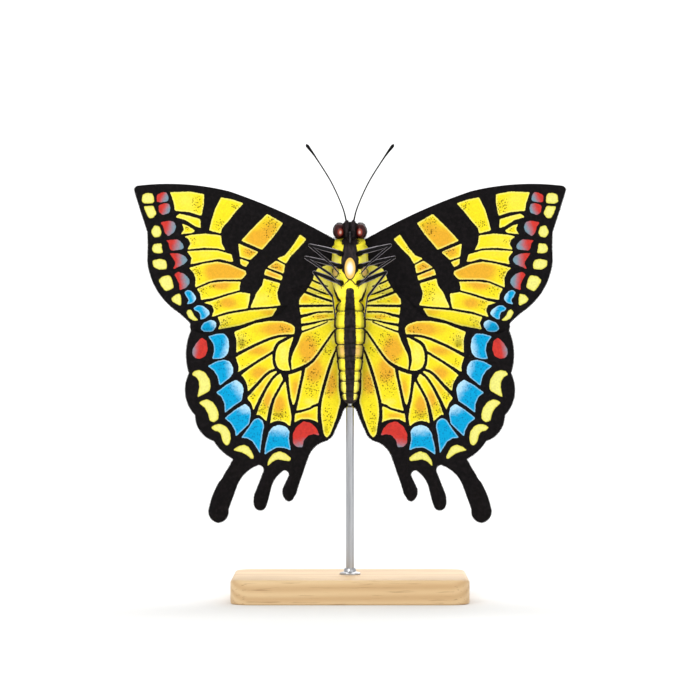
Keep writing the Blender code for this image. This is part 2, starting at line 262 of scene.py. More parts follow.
wingFinish = {
    "grid": 0.2, "rimStep": 0.3, "inset": 0.1,  # how finely the sheet is cut, and its rim stepped
    "cutSnap": 0.02, "cutMargin": 0.03,
    "thickness": 0.24, "edge": 0.12, "rimWidth": 0.9, "rimPast": 0.05,  # thinner towards the rim
    "rimReach": 2.0,
    "veinRise": 0.12, "veinWidth": 0.32,
    "pleat": 0.12, "pleatWidth": 1.6, "pleatLift": 0.4,
    "ripple": {"height": 0.05, "across": 0.9, "up": 0.7, "shift": 1.3, "bend": 0.6, "bendUp": 0.5},
}
wingMap = {"margin": 0.01, "width": 0.48, "backFrom": 0.5, "height": 0.98, "spare": 1.02}
wingPose = {
    "foreDepth": 2.4, "hindDepth": 1.15,  # at the hinge
    "root": 4.0, "slant": 0.07, "bow": 0.0016,  # both pairs sweep back from the root
    "twist": 0.035, "twistFrom": 8.0, "halfSpan": 54.0,  # the forewing's front edge leans forward
    "tailsBelow": -38.0, "tailLift": 0.004,
    # how far back the inner edge of the hindwing lies to clear the abdomen, as (up, depth)
    "innerEdge": [(-26.0, 0.15), (-23.0, 0.3), (-19.0, 0.48), (-14.5, 0.63), (-6.5, 0.9), (-1.5, 0.0)],
    "innerFrom": 3.0, "innerWidth": 2.6,
}


def sweepBack(across):
    reach = np.maximum(0, across - wingPose["root"])
    return wingPose["slant"] * reach + wingPose["bow"] * reach ** 2


def forewingDepth(across, up):
    lean = wingPose["twist"] * (up - wingPose["twistFrom"]) * across / wingPose["halfSpan"]
    return wingPose["foreDepth"] + sweepBack(across) - lean


def hindwingDepth(across, up):
    fromBody = np.maximum(0, across - wingPose["innerFrom"])
    besideBody = np.interp(up, *zip(*wingPose["innerEdge"])) * np.exp(-fromBody / wingPose["innerWidth"])
    tailLift = wingPose["tailLift"] * np.minimum(0, up - wingPose["tailsBelow"]) ** 2
    return wingPose["hindDepth"] + sweepBack(across) + besideBody + tailLift


# the wings' marks as outlines and lines of (across, up); the third number of a line is its half width,
# and a soft patch is (across, up, half width, half height, strength)
forewingMarks = {
    "cream": [
        [(51.9, 26.3), (50.9, 26.75), (49.5, 26.7), (49.1, 26.0), (48.9, 24.6), (49.3, 24.2), (51.3, 24.1),
         (52.1, 24.6)],
        [(51.6, 23.4), (49.1, 23.55), (48.8, 22.7), (48.3, 21.6), (49.3, 20.4), (50.3, 20.5), (50.9, 21.6)],
        [(49.75, 17.2), (48.9, 18.7), (47.6, 18.4), (47.05, 16.9), (47.5, 15.8), (48.8, 15.6), (49.5, 16.4)],
        [(49.5, 13.1), (49.0, 14.0), (47.2, 14.2), (47.0, 13.7), (47.1, 13.1), (46.7, 11.9), (47.0, 11.7),
         (48.8, 11.7), (49.4, 12.3)],
        [(49.4, 9.9), (47.3, 10.3), (46.0, 9.9), (45.7, 8.7), (45.9, 7.7), (47.9, 7.6), (49.2, 8.4)],
        [(47.9, 4.9), (46.9, 5.9), (45.1, 6.2), (44.5, 5.3), (44.0, 3.1), (44.9, 2.6), (46.0, 2.15),
         (46.9, 3.1)],
        [(44.7, 0.3), (43.6, 1.35), (42.4, 1.6), (42.2, 0.7), (42.1, -0.7), (42.3, -1.5), (43.3, -1.0),
         (44.3, -0.4)],
        [(40.9, -3.1), (40.3, -2.3), (39.5, -2.6), (38.9, -4.0), (37.7, -5.1), (38.9, -5.25), (40.2, -4.5)],
    ],
    "rose": [
        [(48.3, 26.2), (47.0, 26.85), (45.9, 26.9), (45.3, 25.7), (45.4, 24.7), (47.0, 24.4), (48.3, 24.5)],
        [(47.9, 23.6), (46.4, 24.2), (45.1, 24.0), (44.8, 22.9), (45.1, 21.7), (46.7, 21.2), (47.7, 21.9)],
        [(47.4, 19.4), (45.3, 19.8), (43.9, 19.5), (43.4, 18.3), (43.8, 17.0), (45.4, 15.9), (46.3, 16.8),
         (46.6, 18.3)],
        [(46.0, 14.9), (43.0, 15.15), (41.9, 14.2), (41.4, 13.1), (41.9, 12.6), (44.6, 12.3), (45.2, 13.2),
         (45.2, 14.2)],
        [(45.1, 11.7), (42.7, 11.6), (41.1, 10.9), (40.5, 10.0), (41.2, 9.0), (44.2, 7.65), (43.5, 9.2),
         (44.2, 10.4)],
        [(43.9, 6.4), (43.0, 7.05), (41.3, 6.5), (40.1, 5.2), (40.0, 4.2), (40.9, 3.0), (42.6, 2.4),
         (42.6, 3.9), (43.2, 5.2)],
    ],
    "blue": [
        [(41.4, 1.9), (40.6, 2.5), (39.5, 2.2), (38.5, 0.9), (38.4, 0.1), (39.2, -0.8), (40.8, -1.15),
         (40.2, -0.1), (40.8, 0.8)],
        [(39.1, -2.1), (38.0, -1.3), (36.7, -1.5), (35.2, -2.6), (34.95, -3.6), (36.3, -4.7),
         (37.4, -4.95), (37.3, -3.9), (37.7, -3.0), (38.7, -2.7)],
        [(37.2, -6.8), (36.5, -5.7), (34.6, -4.95), (33.4, -5.5), (33.3, -6.6), (34.3, -7.9), (36.2, -8.0),
         (37.1, -7.5)],
    ],
    "patches": [
        [(36.35, 26.3), (40.0, 27.0), (44.9, 26.9), (43.9, 24.0), (43.7, 22.25), (40.0, 21.9),
         (37.0, 20.95), (36.4, 24.0)],
        [(43.6, 20.7), (42.5, 21.5), (40.0, 20.9), (37.3, 20.1), (37.2, 17.9), (38.5, 18.3), (41.0, 19.9)],
        [(41.9, 19.0), (40.5, 18.5), (38.65, 17.3), (39.2, 16.7), (42.2, 16.4), (41.4, 17.6)],
        [(32.1, 25.5), (29.5, 25.0), (26.5, 24.0), (28.3, 22.1), (30.0, 19.9), (31.9, 17.8), (32.15, 16.5),
         (35.1, 17.3), (34.5, 19.7), (33.6, 22.6)],
        [(41.3, 15.8), (39.5, 16.2), (36.0, 16.5), (32.1, 16.0), (31.9, 14.0), (31.0, 12.3), (33.0, 12.8),
         (36.5, 13.0), (40.6, 12.55), (39.8, 14.0), (40.3, 15.2)],
        [(40.7, 12.15), (36.0, 12.4), (33.0, 12.3), (29.5, 11.3), (29.0, 9.5), (30.0, 9.5), (32.5, 10.2),
         (35.5, 9.7), (39.8, 8.9), (39.5, 10.5)],
        [(40.2, 7.95), (36.5, 9.0), (33.0, 9.5), (30.0, 8.9), (25.9, 7.15), (25.8, 6.3), (27.0, 5.05),
         (33.0, 5.05), (35.0, 4.6), (38.6, 3.1), (38.5, 5.5), (39.2, 7.0)],
        [(38.15, 2.75), (34.7, 4.2), (31.5, 4.55), (27.1, 4.5), (27.5, 3.3), (27.4, 2.4), (30.5, 1.6),
         (34.0, 0.5), (37.2, 0.0), (37.3, 1.4)],
        [(36.5, -0.7), (34.5, -0.3), (30.0, 1.2), (27.3, 1.9), (24.8, 1.5), (25.1, -0.5), (25.5, -2.15),
         (30.5, -2.95), (34.5, -4.3), (33.9, -2.6), (34.4, -1.3)],
        [(33.0, -4.3), (30.5, -3.6), (25.0, -2.65), (18.1, -2.1), (19.3, -4.1), (23.0, -4.9),
         (27.5, -6.4), (32.9, -7.4), (32.3, -5.9)],
        [(20.6, 21.3), (16.6, 19.0), (18.5, 16.3), (21.8, 12.4), (27.1, 14.7), (24.0, 18.0)],
        [(27.8, 14.0), (22.7, 11.85), (24.8, 9.9), (27.4, 10.7)],
        [(27.35, 10.2), (25.1, 9.4), (25.9, 8.1), (27.2, 8.8)],
        [(12.4, 16.2), (10.8, 15.0), (12.5, 13.0), (14.8, 10.7), (15.9, 8.9), (18.1, 10.2), (16.2, 11.0),
         (14.5, 13.0)],
        [(18.3, 9.7), (16.1, 8.6), (16.5, 6.5), (20.6, 8.05)],
        [(20.9, 7.65), (16.7, 5.9), (17.0, 4.75), (21.4, 6.25)],
        [(21.5, 5.25), (17.3, 4.05), (18.1, 1.75), (17.9, 0.3), (17.15, -1.4), (20.0, -1.7), (24.8, -2.0),
         (23.2, 1.8), (21.8, 3.6)],
    ],
    "region": [(8.1, 7.7), (5.6, 8.6), (2.0, 9.0), (2.0, -2.0), (9.0, -3.5), (12.6, -1.5), (12.6, 0.0),
               (11.0, 1.9), (9.4, 4.6), (8.9, 6.0)],
    "lines": [
        [(10.2, 3.1, 0.22), (7.5, 2.0, 0.22), (4.4, 0.8, 0.18)],
        [(9.3, 4.8, 0.2), (7.8, 4.1, 0.22), (5.6, 3.3, 0.15)],
        [(11.1, 1.9, 0.3), (8.0, 0.7, 0.3), (4.0, -0.7, 0.25)],
    ],
    "veins": [
        [(5.0, 12.6), (14.0, 17.4), (24.0, 21.0), (30.0, 21.6), (37.0, 20.8), (44.0, 21.8), (51.0, 20.6)],
        [(29.5, 19.0), (31.5, 16.4), (37.0, 16.6), (43.0, 16.0), (49.5, 15.2)],
        [(29.6, 14.5), (31.3, 12.2), (36.0, 12.7), (42.0, 12.2), (49.6, 11.2)],
        [(26.2, 7.7), (29.0, 9.0), (33.5, 9.8), (40.0, 8.5), (49.2, 6.6)],
        [(24.9, 4.3), (30.0, 5.1), (34.0, 4.7), (38.6, 2.9), (46.5, 1.9)],
        [(5.0, 7.0), (13.0, 3.2), (24.5, 2.0), (32.0, 1.1), (37.0, 0.0), (43.6, -1.5)],
        [(5.2, 3.4), (11.0, 0.2), (17.5, -1.7), (25.0, -2.3), (34.5, -4.1), (39.6, -5.0)],
    ],
    "flush": [(22.8, 15.2, 3.6, 2.8, 0.9), (19.5, 18.3, 3.0, 2.6, 0.45), (25.2, 11.8, 1.8, 1.5, 0.6),
              (18.6, 8.0, 2.2, 1.6, 0.85), (19.2, 6.0, 2.2, 1.0, 0.6), (29.5, 7.2, 4.4, 2.6, 0.95),
              (33.8, 7.0, 3.4, 2.4, 0.6), (32.3, 3.6, 2.6, 1.3, 0.75), (30.3, -0.8, 2.6, 1.6, 0.8),
              (20.5, -3.1, 2.6, 1.0, 0.55), (11.0, 0.3, 1.7, 1.4, 0.5), (7.5, -4.0, 2.2, 0.8, 0.5)],
    # pale: painted highlights on the yellow cells
    "paleAndHighlight": [(41.5, 24.8, 4.0, 3.0, 0.5), (40.0, 20.8, 3.0, 1.4, 0.5), (37.5, 14.8, 4.5, 1.8, 0.35),
             (36.0, 11.2, 4.5, 1.2, 0.35), (31.5, -5.0, 2.4, 1.6, 0.45), (24.6, 0.2, 1.4, 2.0, 0.8),
             (21.5, 0.3, 2.6, 2.6, 0.5), (15.2, 11.0, 1.8, 1.6, 0.4), (6.4, 6.8, 2.4, 1.9, 1.0),
             (6.0, 3.0, 2.2, 2.0, 0.9)],
    "speckle": [(37.8, 23.8, 1.5, 2.0, 1.0), (40.4, 17.8, 1.0, 0.9, 0.7), (39.2, 14.7, 1.0, 1.2, 0.7),
                (38.3, 6.6, 1.3, 1.8, 1.0), (36.4, 2.4, 1.5, 1.2, 1.0), (34.2, 3.2, 0.8, 0.8, 0.7),
                (33.2, -1.4, 1.2, 1.5, 1.0), (31.6, -5.8, 1.3, 1.0, 1.0), (30.3, -4.8, 1.0, 0.8, 0.7),
                (32.4, 18.6, 1.4, 1.4, 0.9), (28.6, 23.3, 1.3, 1.2, 0.8), (19.5, 18.0, 2.2, 2.6, 1.0),
                (24.8, 12.0, 1.8, 1.2, 0.7), (18.6, 8.0, 1.8, 1.0, 0.6), (19.5, 2.0, 1.8, 3.0, 0.7),
                (7.5, 1.4, 2.6, 2.6, 0.6), (14.5, 12.5, 1.5, 2.2, 0.4)],
    "oliveAndShade": [(40.5, 17.7, 0.8, 0.8, 0.4)],
    "deepBlue": [],
    "focus": (14.0, 8.0),  # the spots point away from it
    "roseFade": (0.45, -0.75, 1.0),  # the rose spots turn grey-blue: from, to, how much
    "backRoseCut": 3.0, "backBlueCut": 3.0,  # how much smaller the spots are on the back
}
hindwingMarks = {
    "cream": [
        [(39.4, -18.7), (38.9, -17.8), (37.5, -17.45), (36.0, -18.1), (34.9, -19.9), (34.65, -21.5),
         (34.9, -22.6), (36.2, -23.4), (38.0, -24.3), (37.5, -21.8), (37.6, -20.3), (38.3, -19.2)],
        [(37.6, -25.7), (36.9, -25.1), (35.6, -24.75), (34.2, -25.4), (33.1, -26.9), (32.65, -28.4),
         (32.75, -29.7), (33.8, -30.5), (34.9, -30.1), (35.3, -28.4), (36.1, -26.9)],
        [(34.6, -31.75), (33.6, -31.1), (32.3, -30.85), (30.8, -31.5), (29.85, -32.9), (29.65, -34.6),
         (30.0, -35.9), (30.8, -36.3), (31.7, -35.2), (32.0, -33.7), (32.6, -32.75), (33.7, -32.6)],
        [(29.1, -37.4), (27.9, -36.5), (26.4, -36.0), (25.2, -36.5), (24.4, -37.8), (23.8, -39.3),
         (24.4, -39.6), (25.7, -38.5), (27.2, -37.8)],
        [(20.5, -41.4), (20.3, -39.9), (19.1, -38.2), (17.4, -37.6), (15.9, -38.2), (14.6, -39.3),
         (14.9, -40.05), (16.3, -39.9), (17.9, -39.6), (19.1, -40.1)],
    ],
    "rose": [
        [(36.9, -9.4), (38.2, -10.7), (39.2, -12.3), (39.3, -13.5), (38.6, -14.5), (37.3, -14.7),
         (36.0, -14.0), (35.4, -12.3), (35.7, -10.2)],
        [(11.5, -30.15), (13.2, -31.4), (14.2, -33.3), (14.1, -35.7), (13.2, -36.5), (11.75, -36.6),
         (11.5, -34.9), (10.3, -33.6), (8.9, -33.3), (7.6, -33.7), (8.2, -32.0), (9.6, -30.6)],
    ],
    "blue": [
        [(35.3, -9.1), (33.0, -8.45), (31.3, -8.4), (30.3, -9.6), (30.0, -11.5), (30.3, -13.2),
         (31.2, -14.3), (32.5, -14.7), (34.3, -14.75), (33.75, -12.5), (34.0, -11.0), (34.7, -9.9)],
        [(35.4, -16.5), (33.2, -15.3), (31.4, -14.9), (29.9, -15.3), (29.1, -16.7), (29.0, -18.2),
         (29.8, -19.3), (32.4, -21.4), (33.0, -19.0), (33.9, -17.6)],
        [(33.35, -23.1), (30.8, -21.2), (28.3, -19.85), (26.8, -21.0), (26.4, -22.3), (26.9, -25.1),
         (29.0, -26.5), (31.1, -28.15), (31.2, -25.8), (32.0, -24.1)],
        [(31.2, -29.45), (28.5, -27.3), (26.1, -25.85), (24.9, -26.8), (24.6, -28.3), (25.0, -30.8),
         (27.0, -32.7), (28.35, -34.0), (28.6, -32.4), (29.6, -30.7)],
        [(27.1, -34.3), (25.2, -31.8), (23.9, -29.8), (22.8, -29.35), (21.7, -30.0), (21.3, -31.3),
         (21.7, -33.2), (22.35, -38.2), (22.9, -37.2), (24.2, -35.2), (25.5, -34.4)],
        [(20.2, -33.0), (19.2, -31.6), (17.6, -31.05), (15.9, -31.5), (15.0, -32.6), (15.2, -34.5),
         (14.65, -37.4), (16.3, -36.75), (18.3, -36.7), (20.0, -37.7), (21.2, -38.5), (21.1, -36.6)],
    ],
    "patches": [],
    "region": [
        (1.0, 4.0), (10.0, 4.0), (11.4, 1.6), (12.6, 0.0), (12.6, -1.5), (12.2, -4.0), (11.9, -8.2),
        (13.1, -11.2), (14.3, -13.6), (14.6, -15.2), (14.4, -17.4), (14.9, -17.4), (15.4, -15.2),
        (15.1, -12.6), (13.9, -9.0), (13.6, -7.0), (14.4, -6.1), (16.7, -5.35), (20.0, -5.3),
        (23.7, -5.95), (28.8, -8.0), (28.2, -10.0), (28.25, -13.0), (28.4, -14.3), (27.6, -16.5),
        (27.9, -18.6), (26.7, -18.9), (25.5, -21.0), (25.3, -23.0), (25.5, -24.6), (24.6, -25.6),
        (24.0, -27.2), (24.0, -28.8), (22.6, -28.5), (21.0, -29.9), (20.1, -31.1), (19.2, -30.3),
        (17.6, -30.0), (16.0, -30.4), (15.0, -31.4), (13.8, -30.5), (12.2, -29.6), (10.0, -29.6),
        (8.0, -30.3), (7.2, -31.2), (6.7, -33.0), (5.8, -34.3), (4.9, -33.3), (3.4, -29.4), (2.3, -25.2),
        (2.8, -22.6), (2.85, -20.0), (2.8, -17.5), (3.3, -14.0), (2.0, -8.0), (1.0, -2.0),
    ],
    "lines": [
        [(11.1, 1.9, 0.32), (8.0, 0.7, 0.3), (4.4, -0.5, 0.25)],
        [(12.8, -1.6, 0.32), (8.5, -1.55, 0.3), (4.4, -1.5, 0.25)],
        [(12.4, -4.2, 0.4), (10.5, -3.8, 0.32), (8.0, -3.15, 0.22), (4.4, -3.05, 0.2)],
        [(12.2, -6.35, 0.35), (9.0, -5.8, 0.26), (6.5, -5.2, 0.18), (4.0, -4.9, 0.16)],
        [(12.2, -8.1, 0.24), (9.5, -7.15, 0.19), (7.4, -6.35, 0.15), (5.6, -5.55, 0.13)],
        [(14.0, -8.9, 0.3), (17.0, -9.0, 0.3), (19.5, -9.6, 0.32), (22.0, -10.6, 0.33), (25.0, -12.0, 0.34),
         (28.8, -14.0, 0.42)],
        [(14.2, -9.0, 0.25), (16.2, -9.95, 0.35), (17.8, -10.9, 0.38), (18.6, -12.4, 0.38),
         (18.9, -14.2, 0.35), (18.7, -16.0, 0.35), (18.0, -17.3, 0.4), (17.0, -17.9, 0.4)],
        [(19.0, -12.9, 0.25), (20.5, -13.9, 0.3), (23.0, -15.4, 0.3), (26.0, -17.4, 0.38),
         (28.2, -19.0, 0.6)],
        [(3.2, -7.1, 0.2), (4.2, -8.1, 0.22), (5.5, -10.0, 0.26), (8.5, -14.3, 0.3), (10.0, -15.8, 0.36),
         (11.5, -16.75, 0.44), (13.0, -17.4, 0.45), (14.7, -17.95, 0.45), (16.2, -18.1, 0.45),
         (17.4, -17.9, 0.4)],
        [(18.0, -17.3, 0.3), (19.7, -17.8, 0.32), (21.3, -19.1, 0.33), (23.0, -21.0, 0.36),
         (25.6, -23.7, 0.45)],
        [(17.4, -17.9, 0.35), (19.0, -19.3, 0.3), (20.4, -21.3, 0.32), (21.7, -23.7, 0.36),
         (22.8, -26.0, 0.42), (24.0, -28.9, 0.55)],
        [(16.3, -18.6, 0.75), (16.3, -19.8, 0.35), (17.4, -21.8, 0.3), (18.8, -24.4, 0.33),
         (19.5, -26.4, 0.38), (20.0, -28.8, 0.45), (20.4, -31.2, 0.5)],
        [(16.0, -18.6, 0.7), (15.6, -20.2, 0.42), (15.35, -22.0, 0.34), (15.0, -24.4, 0.34),
         (14.5, -26.4, 0.42), (14.0, -27.6, 0.62)],
        [(11.5, -17.0, 0.4), (11.8, -19.0, 0.34), (12.25, -21.0, 0.33), (12.8, -23.6, 0.34),
         (13.3, -25.7, 0.38), (14.0, -27.6, 0.6), (14.1, -29.2, 0.38), (14.4, -32.0, 0.45)],
        [(7.8, -26.0, 0.34), (9.0, -26.4, 0.3), (10.3, -27.1, 0.27), (13.2, -27.9, 0.32)],
        [(3.2, -11.8, 0.15), (4.3, -14.5, 0.3), (5.3, -17.5, 0.36), (6.2, -20.5, 0.36), (7.0, -23.6, 0.36),
         (7.5, -26.0, 0.38), (7.6, -29.0, 0.42), (7.3, -31.2, 0.42), (6.8, -33.6, 0.3)],
    ],
    "veins": [
        [(5.0, -0.4), (12.7, -1.6)],
        [(5.0, -3.0), (12.4, -7.0), (14.0, -8.8), (20.0, -9.6), (28.3, -13.8), (34.0, -14.8), (39.9, -16.0)],
        [(19.0, -12.9), (23.0, -15.4), (28.0, -18.6), (38.6, -24.2)],
        [(18.3, -17.4), (21.3, -19.1), (25.6, -23.7), (37.4, -32.2)],
        [(17.4, -17.9), (20.4, -21.3), (22.8, -26.0), (24.4, -30.0), (30.0, -38.0), (33.2, -52.0)],
        [(16.3, -19.2), (18.8, -24.4), (20.0, -29.0), (21.6, -38.0), (22.4, -50.0)],
        [(15.8, -19.0), (14.4, -27.0), (14.4, -33.0), (14.3, -41.0), (15.2, -48.0)],
        [(4.4, -8.4), (8.5, -14.3), (12.5, -17.0), (15.6, -18.0)],
        [(4.2, -13.4), (6.2, -20.0), (7.6, -27.0), (7.4, -33.6)],
    ],
    "flush": [(17.2, -7.2, 3.6, 1.8, 0.95), (21.6, -7.6, 3.0, 1.6, 0.35), (22.6, -12.6, 3.6, 1.5, 0.7),
              (22.4, -18.2, 2.6, 1.8, 0.85), (22.2, -22.0, 1.6, 1.6, 0.4), (20.3, -24.8, 1.4, 2.4, 0.75),
              (17.5, -26.0, 1.6, 2.4, 0.9), (13.4, -22.0, 1.2, 2.6, 0.7), (10.6, -12.0, 2.6, 3.0, 0.95),
              (9.0, -17.6, 2.2, 3.2, 0.95), (4.7, -20.6, 1.8, 3.6, 0.8), (11.0, -28.7, 2.2, 0.8, 0.6),
              (11.2, 0.2, 1.6, 1.2, 0.5), (7.5, -4.2, 2.2, 0.7, 0.6)],
    # pale: painted highlights on the yellow cells
    "paleAndHighlight": [(16.6, -13.6, 1.6, 4.0, 0.75), (27.6, -9.6, 2.6, 2.2, 0.5), (18.4, -18.6, 1.4, 1.2, 0.8),
             (17.0, -21.4, 0.8, 1.4, 0.7), (14.6, -25.6, 0.9, 1.6, 0.7), (11.8, -7.3, 0.8, 0.6, 0.8),
             (27.5, -17.3, 0.9, 1.2, 0.6), (9.8, -25.4, 2.0, 1.2, 0.6), (4.0, -10.0, 0.7, 1.4, 0.7),
             (4.2, -6.4, 0.8, 0.9, 0.6), (8.0, -2.3, 3.0, 0.6, 0.5)],
    "speckle": [(26.6, -10.2, 2.0, 2.2, 1.0), (16.4, -7.3, 1.6, 1.0, 0.9), (26.2, -15.8, 1.4, 1.4, 0.6),
                (24.8, -20.8, 1.5, 1.2, 1.0), (23.9, -23.9, 1.0, 1.0, 0.9), (21.4, -26.9, 1.3, 1.6, 1.2),
                (17.6, -28.4, 2.2, 1.5, 1.3), (9.6, -21.4, 1.8, 2.6, 0.9), (8.8, -10.4, 1.9, 2.6, 0.9),
                (11.0, -15.0, 1.6, 1.4, 0.6), (4.9, -21.4, 1.5, 2.4, 1.0), (5.4, -29.4, 1.2, 3.4, 0.9),
                (5.6, -12.8, 1.0, 1.6, 0.9), (7.8, -4.3, 2.2, 0.7, 0.8), (8.2, -0.5, 2.2, 1.0, 0.7),
                (8.6, -18.6, 1.4, 1.4, 0.8)],
    "oliveAndShade": [(27.0, -10.8, 1.4, 1.6, 0.75), (6.0, -32.0, 0.9, 1.4, 0.6), (24.6, -23.2, 1.0, 0.8, 0.6),
              (22.4, -27.6, 1.0, 0.8, 0.6), (17.4, -28.6, 2.0, 0.7, 0.6)],
    "deepBlue": [(24.0, -31.5, 2.4, 2.6, 0.7)],
    "focus": (17.0, -15.0),
    "roseFade": (0.0, 1.0, 0.85),
    "backRoseCut": 0.1, "backBlueCut": 0.1,
}
markReach = 1.5  # how far from the edge of a mark distances are kept, in mm


def rounded(points, radius, steps=4):  # straight sides with a small curve at each corner
    points = np.array(points, float)
    made = []
    for before, corner, after in zip(np.roll(points, 1, axis=0), points, np.roll(points, -1, axis=0)):
        back, on = before - corner, after - corner
        start = corner + back * min(radius / np.linalg.norm(back), 0.5)
        end = corner + on * min(radius / np.linalg.norm(on), 0.5)
        for t in np.linspace(0, 1, steps + 1):
            made.append((1 - t) ** 2 * start + 2 * t * (1 - t) * corner + t ** 2 * end)
    return np.array(made)


def nearBox(points, line, reach):  # which points lie near enough to matter
    low, high = line.min(axis=0) - reach, line.max(axis=0) + reach
    return np.all((points > low) & (points < high), axis=1)


def within(points, loop, reach=markReach):  # above 0 inside the closed line, below 0 outside
    value = np.full(len(points), -reach)
    near = nearBox(points, loop, reach)
    spots = points[near]
    nearest = np.full(len(spots), reach ** 2)
    odd = np.zeros(len(spots), bool)
    for a, b in zip(loop, np.roll(loop, -1, axis=0)):
        edge, offset = b - a, spots - a
        share = np.clip(offset @ edge / max(edge @ edge, tiny), 0, 1)
        gap = offset - share[:, None] * edge
        nearest = np.minimum(nearest, (gap ** 2).sum(axis=1))
        if a[1] != b[1]:
            spans = (a[1] > spots[:, 1]) != (b[1] > spots[:, 1])
            odd ^= spans & (spots[:, 0] < a[0] + edge[0] * (spots[:, 1] - a[1]) / edge[1])
    value[near] = np.where(odd, 1, -1) * np.sqrt(nearest)
    return value


def offStroke(points, line, width=1.0):  # above 0 outside a line that has half widths
    value = np.full(len(points), markReach)
    stroke = curve(line, 4)
    near = nearBox(points, stroke[:, :2], markReach)
    spots = points[near]
    nearest = np.full(len(spots), markReach)
    for a, b in zip(stroke, stroke[1:]):
        edge, offset = (b - a)[:2], spots - a[:2]
        share = np.clip(offset @ edge / max(edge @ edge, tiny), 0, 1)
        gap = np.linalg.norm(offset - share[:, None] * edge, axis=1)
        nearest = np.minimum(nearest, gap - width * (a[2] + share * (b[2] - a[2])))
    value[near] = nearest
    return value


def softLess(a, b, blend=0.2):  # the smaller of two, with the corner between them rounded
    share = np.clip(0.5 + 0.5 * (b - a) / blend, 0, 1)
    return b * (1 - share) + a * share - blend * share * (1 - share)


def softPatches(points, patches):  # a sum of soft round patches
    total = np.zeros(len(points))
    for across, up, halfWidth, halfHeight, strength in patches:
        spread = ((points[:, 0] - across) / halfWidth) ** 2 + ((points[:, 1] - up) / halfHeight) ** 2
        total += strength * np.exp(-spread)
    return total


markStyle = {
    "regionCorner": 0.5, "patchCorner": 0.3, "spotCorner": 0.4,  # how far the corners are rounded
    "blueMiddle": 0.5, "blueFade": 0.62,  # the blue spots are deeper at their outer ends
    # the underside in front and the upper side at the back: width of the lines, growth of the spots
    # and strength of the soft patches
    "front": {"line": 1.1, "cream": 0.0, "blue": 0.0, "soft": 1.0},
    "back": {"line": 0.9, "cream": -0.15, "blue": -0.35, "soft": 0.6},
}


def markRow(points, loops, focus, grow=0.0):
    # how far inside a row of spots, and how far along a spot away from the focus, -1 to 1 within it
    edge = np.full(len(points), -markReach)
    along = np.zeros(len(points))
    for loop in loops:
        line = rounded(loop, markStyle["spotCorner"])
        centre = line.mean(axis=0)
        outward = (centre - focus) / np.linalg.norm(centre - focus)
        reach = np.abs((line - centre) @ outward).max()
        value = within(points, line)
        nearer = value > edge
        edge[nearer] = value[nearer]
        along[nearer] = ((points[nearer] - centre) @ outward) / reach
    return edge + grow, np.clip(along, -1.5, 1.5)


def wingFields(points, marks, dorsal):  # what the wing's material reads at each point
    face = markStyle["back" if dorsal else "front"]
    yellow = within(points, rounded(marks["region"], markStyle["regionCorner"]))
    for line in marks["lines"]:
        yellow = softLess(yellow, offStroke(points, line, face["line"]))
    for loop in marks["patches"]:
        yellow = np.maximum(yellow, within(points, rounded(loop, markStyle["patchCorner"])))
    cream, _ = markRow(points, marks["cream"], marks["focus"], face["cream"])
    rose, roseAlong = markRow(points, marks["rose"], marks["focus"])
    blue, blueAlong = markRow(points, marks["blue"], marks["focus"], face["blue"])
    if dorsal:
        rose = rose - marks["backRoseCut"]
        blue = blue - marks["backBlueCut"]
    fadeFrom, fadeTo, fadeShare = marks["roseFade"]
    blueShade = markStyle["blueMiddle"] + markStyle["blueFade"] * blueAlong
    return {
        "yellowEdge": yellow,
        "creamEdge": cream,
        "roseEdge": rose,
        "blueEdge": blue,
        "roseFade": ramp(roseAlong, fadeFrom, fadeTo - fadeFrom) * fadeShare,
        "blueShade": np.clip(blueShade + softPatches(points, marks["deepBlue"]), 0, 1),
        "flush": softPatches(points, marks["flush"]) * face["soft"],
        "paleAndHighlight": softPatches(points, marks["paleAndHighlight"]),
        "speckle": softPatches(points, marks["speckle"]) * face["soft"],
        "oliveAndShade": softPatches(points, marks["oliveAndShade"]),
    }


def wingLoop(corners):
    return drawnIn(outline(corners, wingFinish["rimStep"]), wingFinish["inset"])


def wingSheet(loop, spacing):  # the flat outline cut into small squares; lengths in mm, facing -Y
    bm = bmesh.new()
    bm.faces.new([bm.verts.new((across, 0, up)) for across, up in loop])
    low, high = loop.min(axis=0), loop.max(axis=0)
    for axis, part in ((0, 0), (2, 1)):
        normal = [0, 0, 0]
        normal[axis] = 1
        ahead = bm.verts[:] + bm.edges[:] + bm.faces[:]
        for cut in np.arange(low[part] + spacing, high[part], spacing):
            made = bmesh.ops.bisect_plane(
                bm, geom=ahead, dist=wingFinish["cutSnap"], plane_co=Vector(normal) * cut, plane_no=normal,
            )
            ahead = [item for item in made["geom"] if reaches(item, axis, cut)]
    return bm


def reaches(item, axis, cut):  # whether any of it lies at or past the cut
    margin = wingFinish["cutMargin"]
    if isinstance(item, bmesh.types.BMVert):
        return item.co[axis] > cut - margin
    return any(v.co[axis] > cut + margin for v in item.verts)


def wingTemplate(loop):  # a closed thin slab: y is 0 on the underside and 1 on the back
    bm = wingSheet(loop, wingFinish["grid"])
    made = bmesh.ops.extrude_face_region(bm, geom=bm.faces[:])
    dorsal = [item for item in made["geom"] if isinstance(item, bmesh.types.BMVert)]
    bmesh.ops.translate(bm, verts=dorsal, vec=(0, 1, 0))
    bmesh.ops.recalc_face_normals(bm, faces=bm.faces)
    return bm


def veinDistance(points, veins):  # to the nearest vein
    nearest = np.full(len(points), np.inf)
    for line in veins:
        path = curve(line, 5) if len(line) > 2 else np.array(line)
        for a, b in zip(path, path[1:]):
            edge, offset = b - a, points - a
            share = np.clip(offset @ edge / (edge @ edge), 0, 1)
            nearest = np.minimum(nearest, np.linalg.norm(offset - share[:, None] * edge, axis=1))
    return nearest


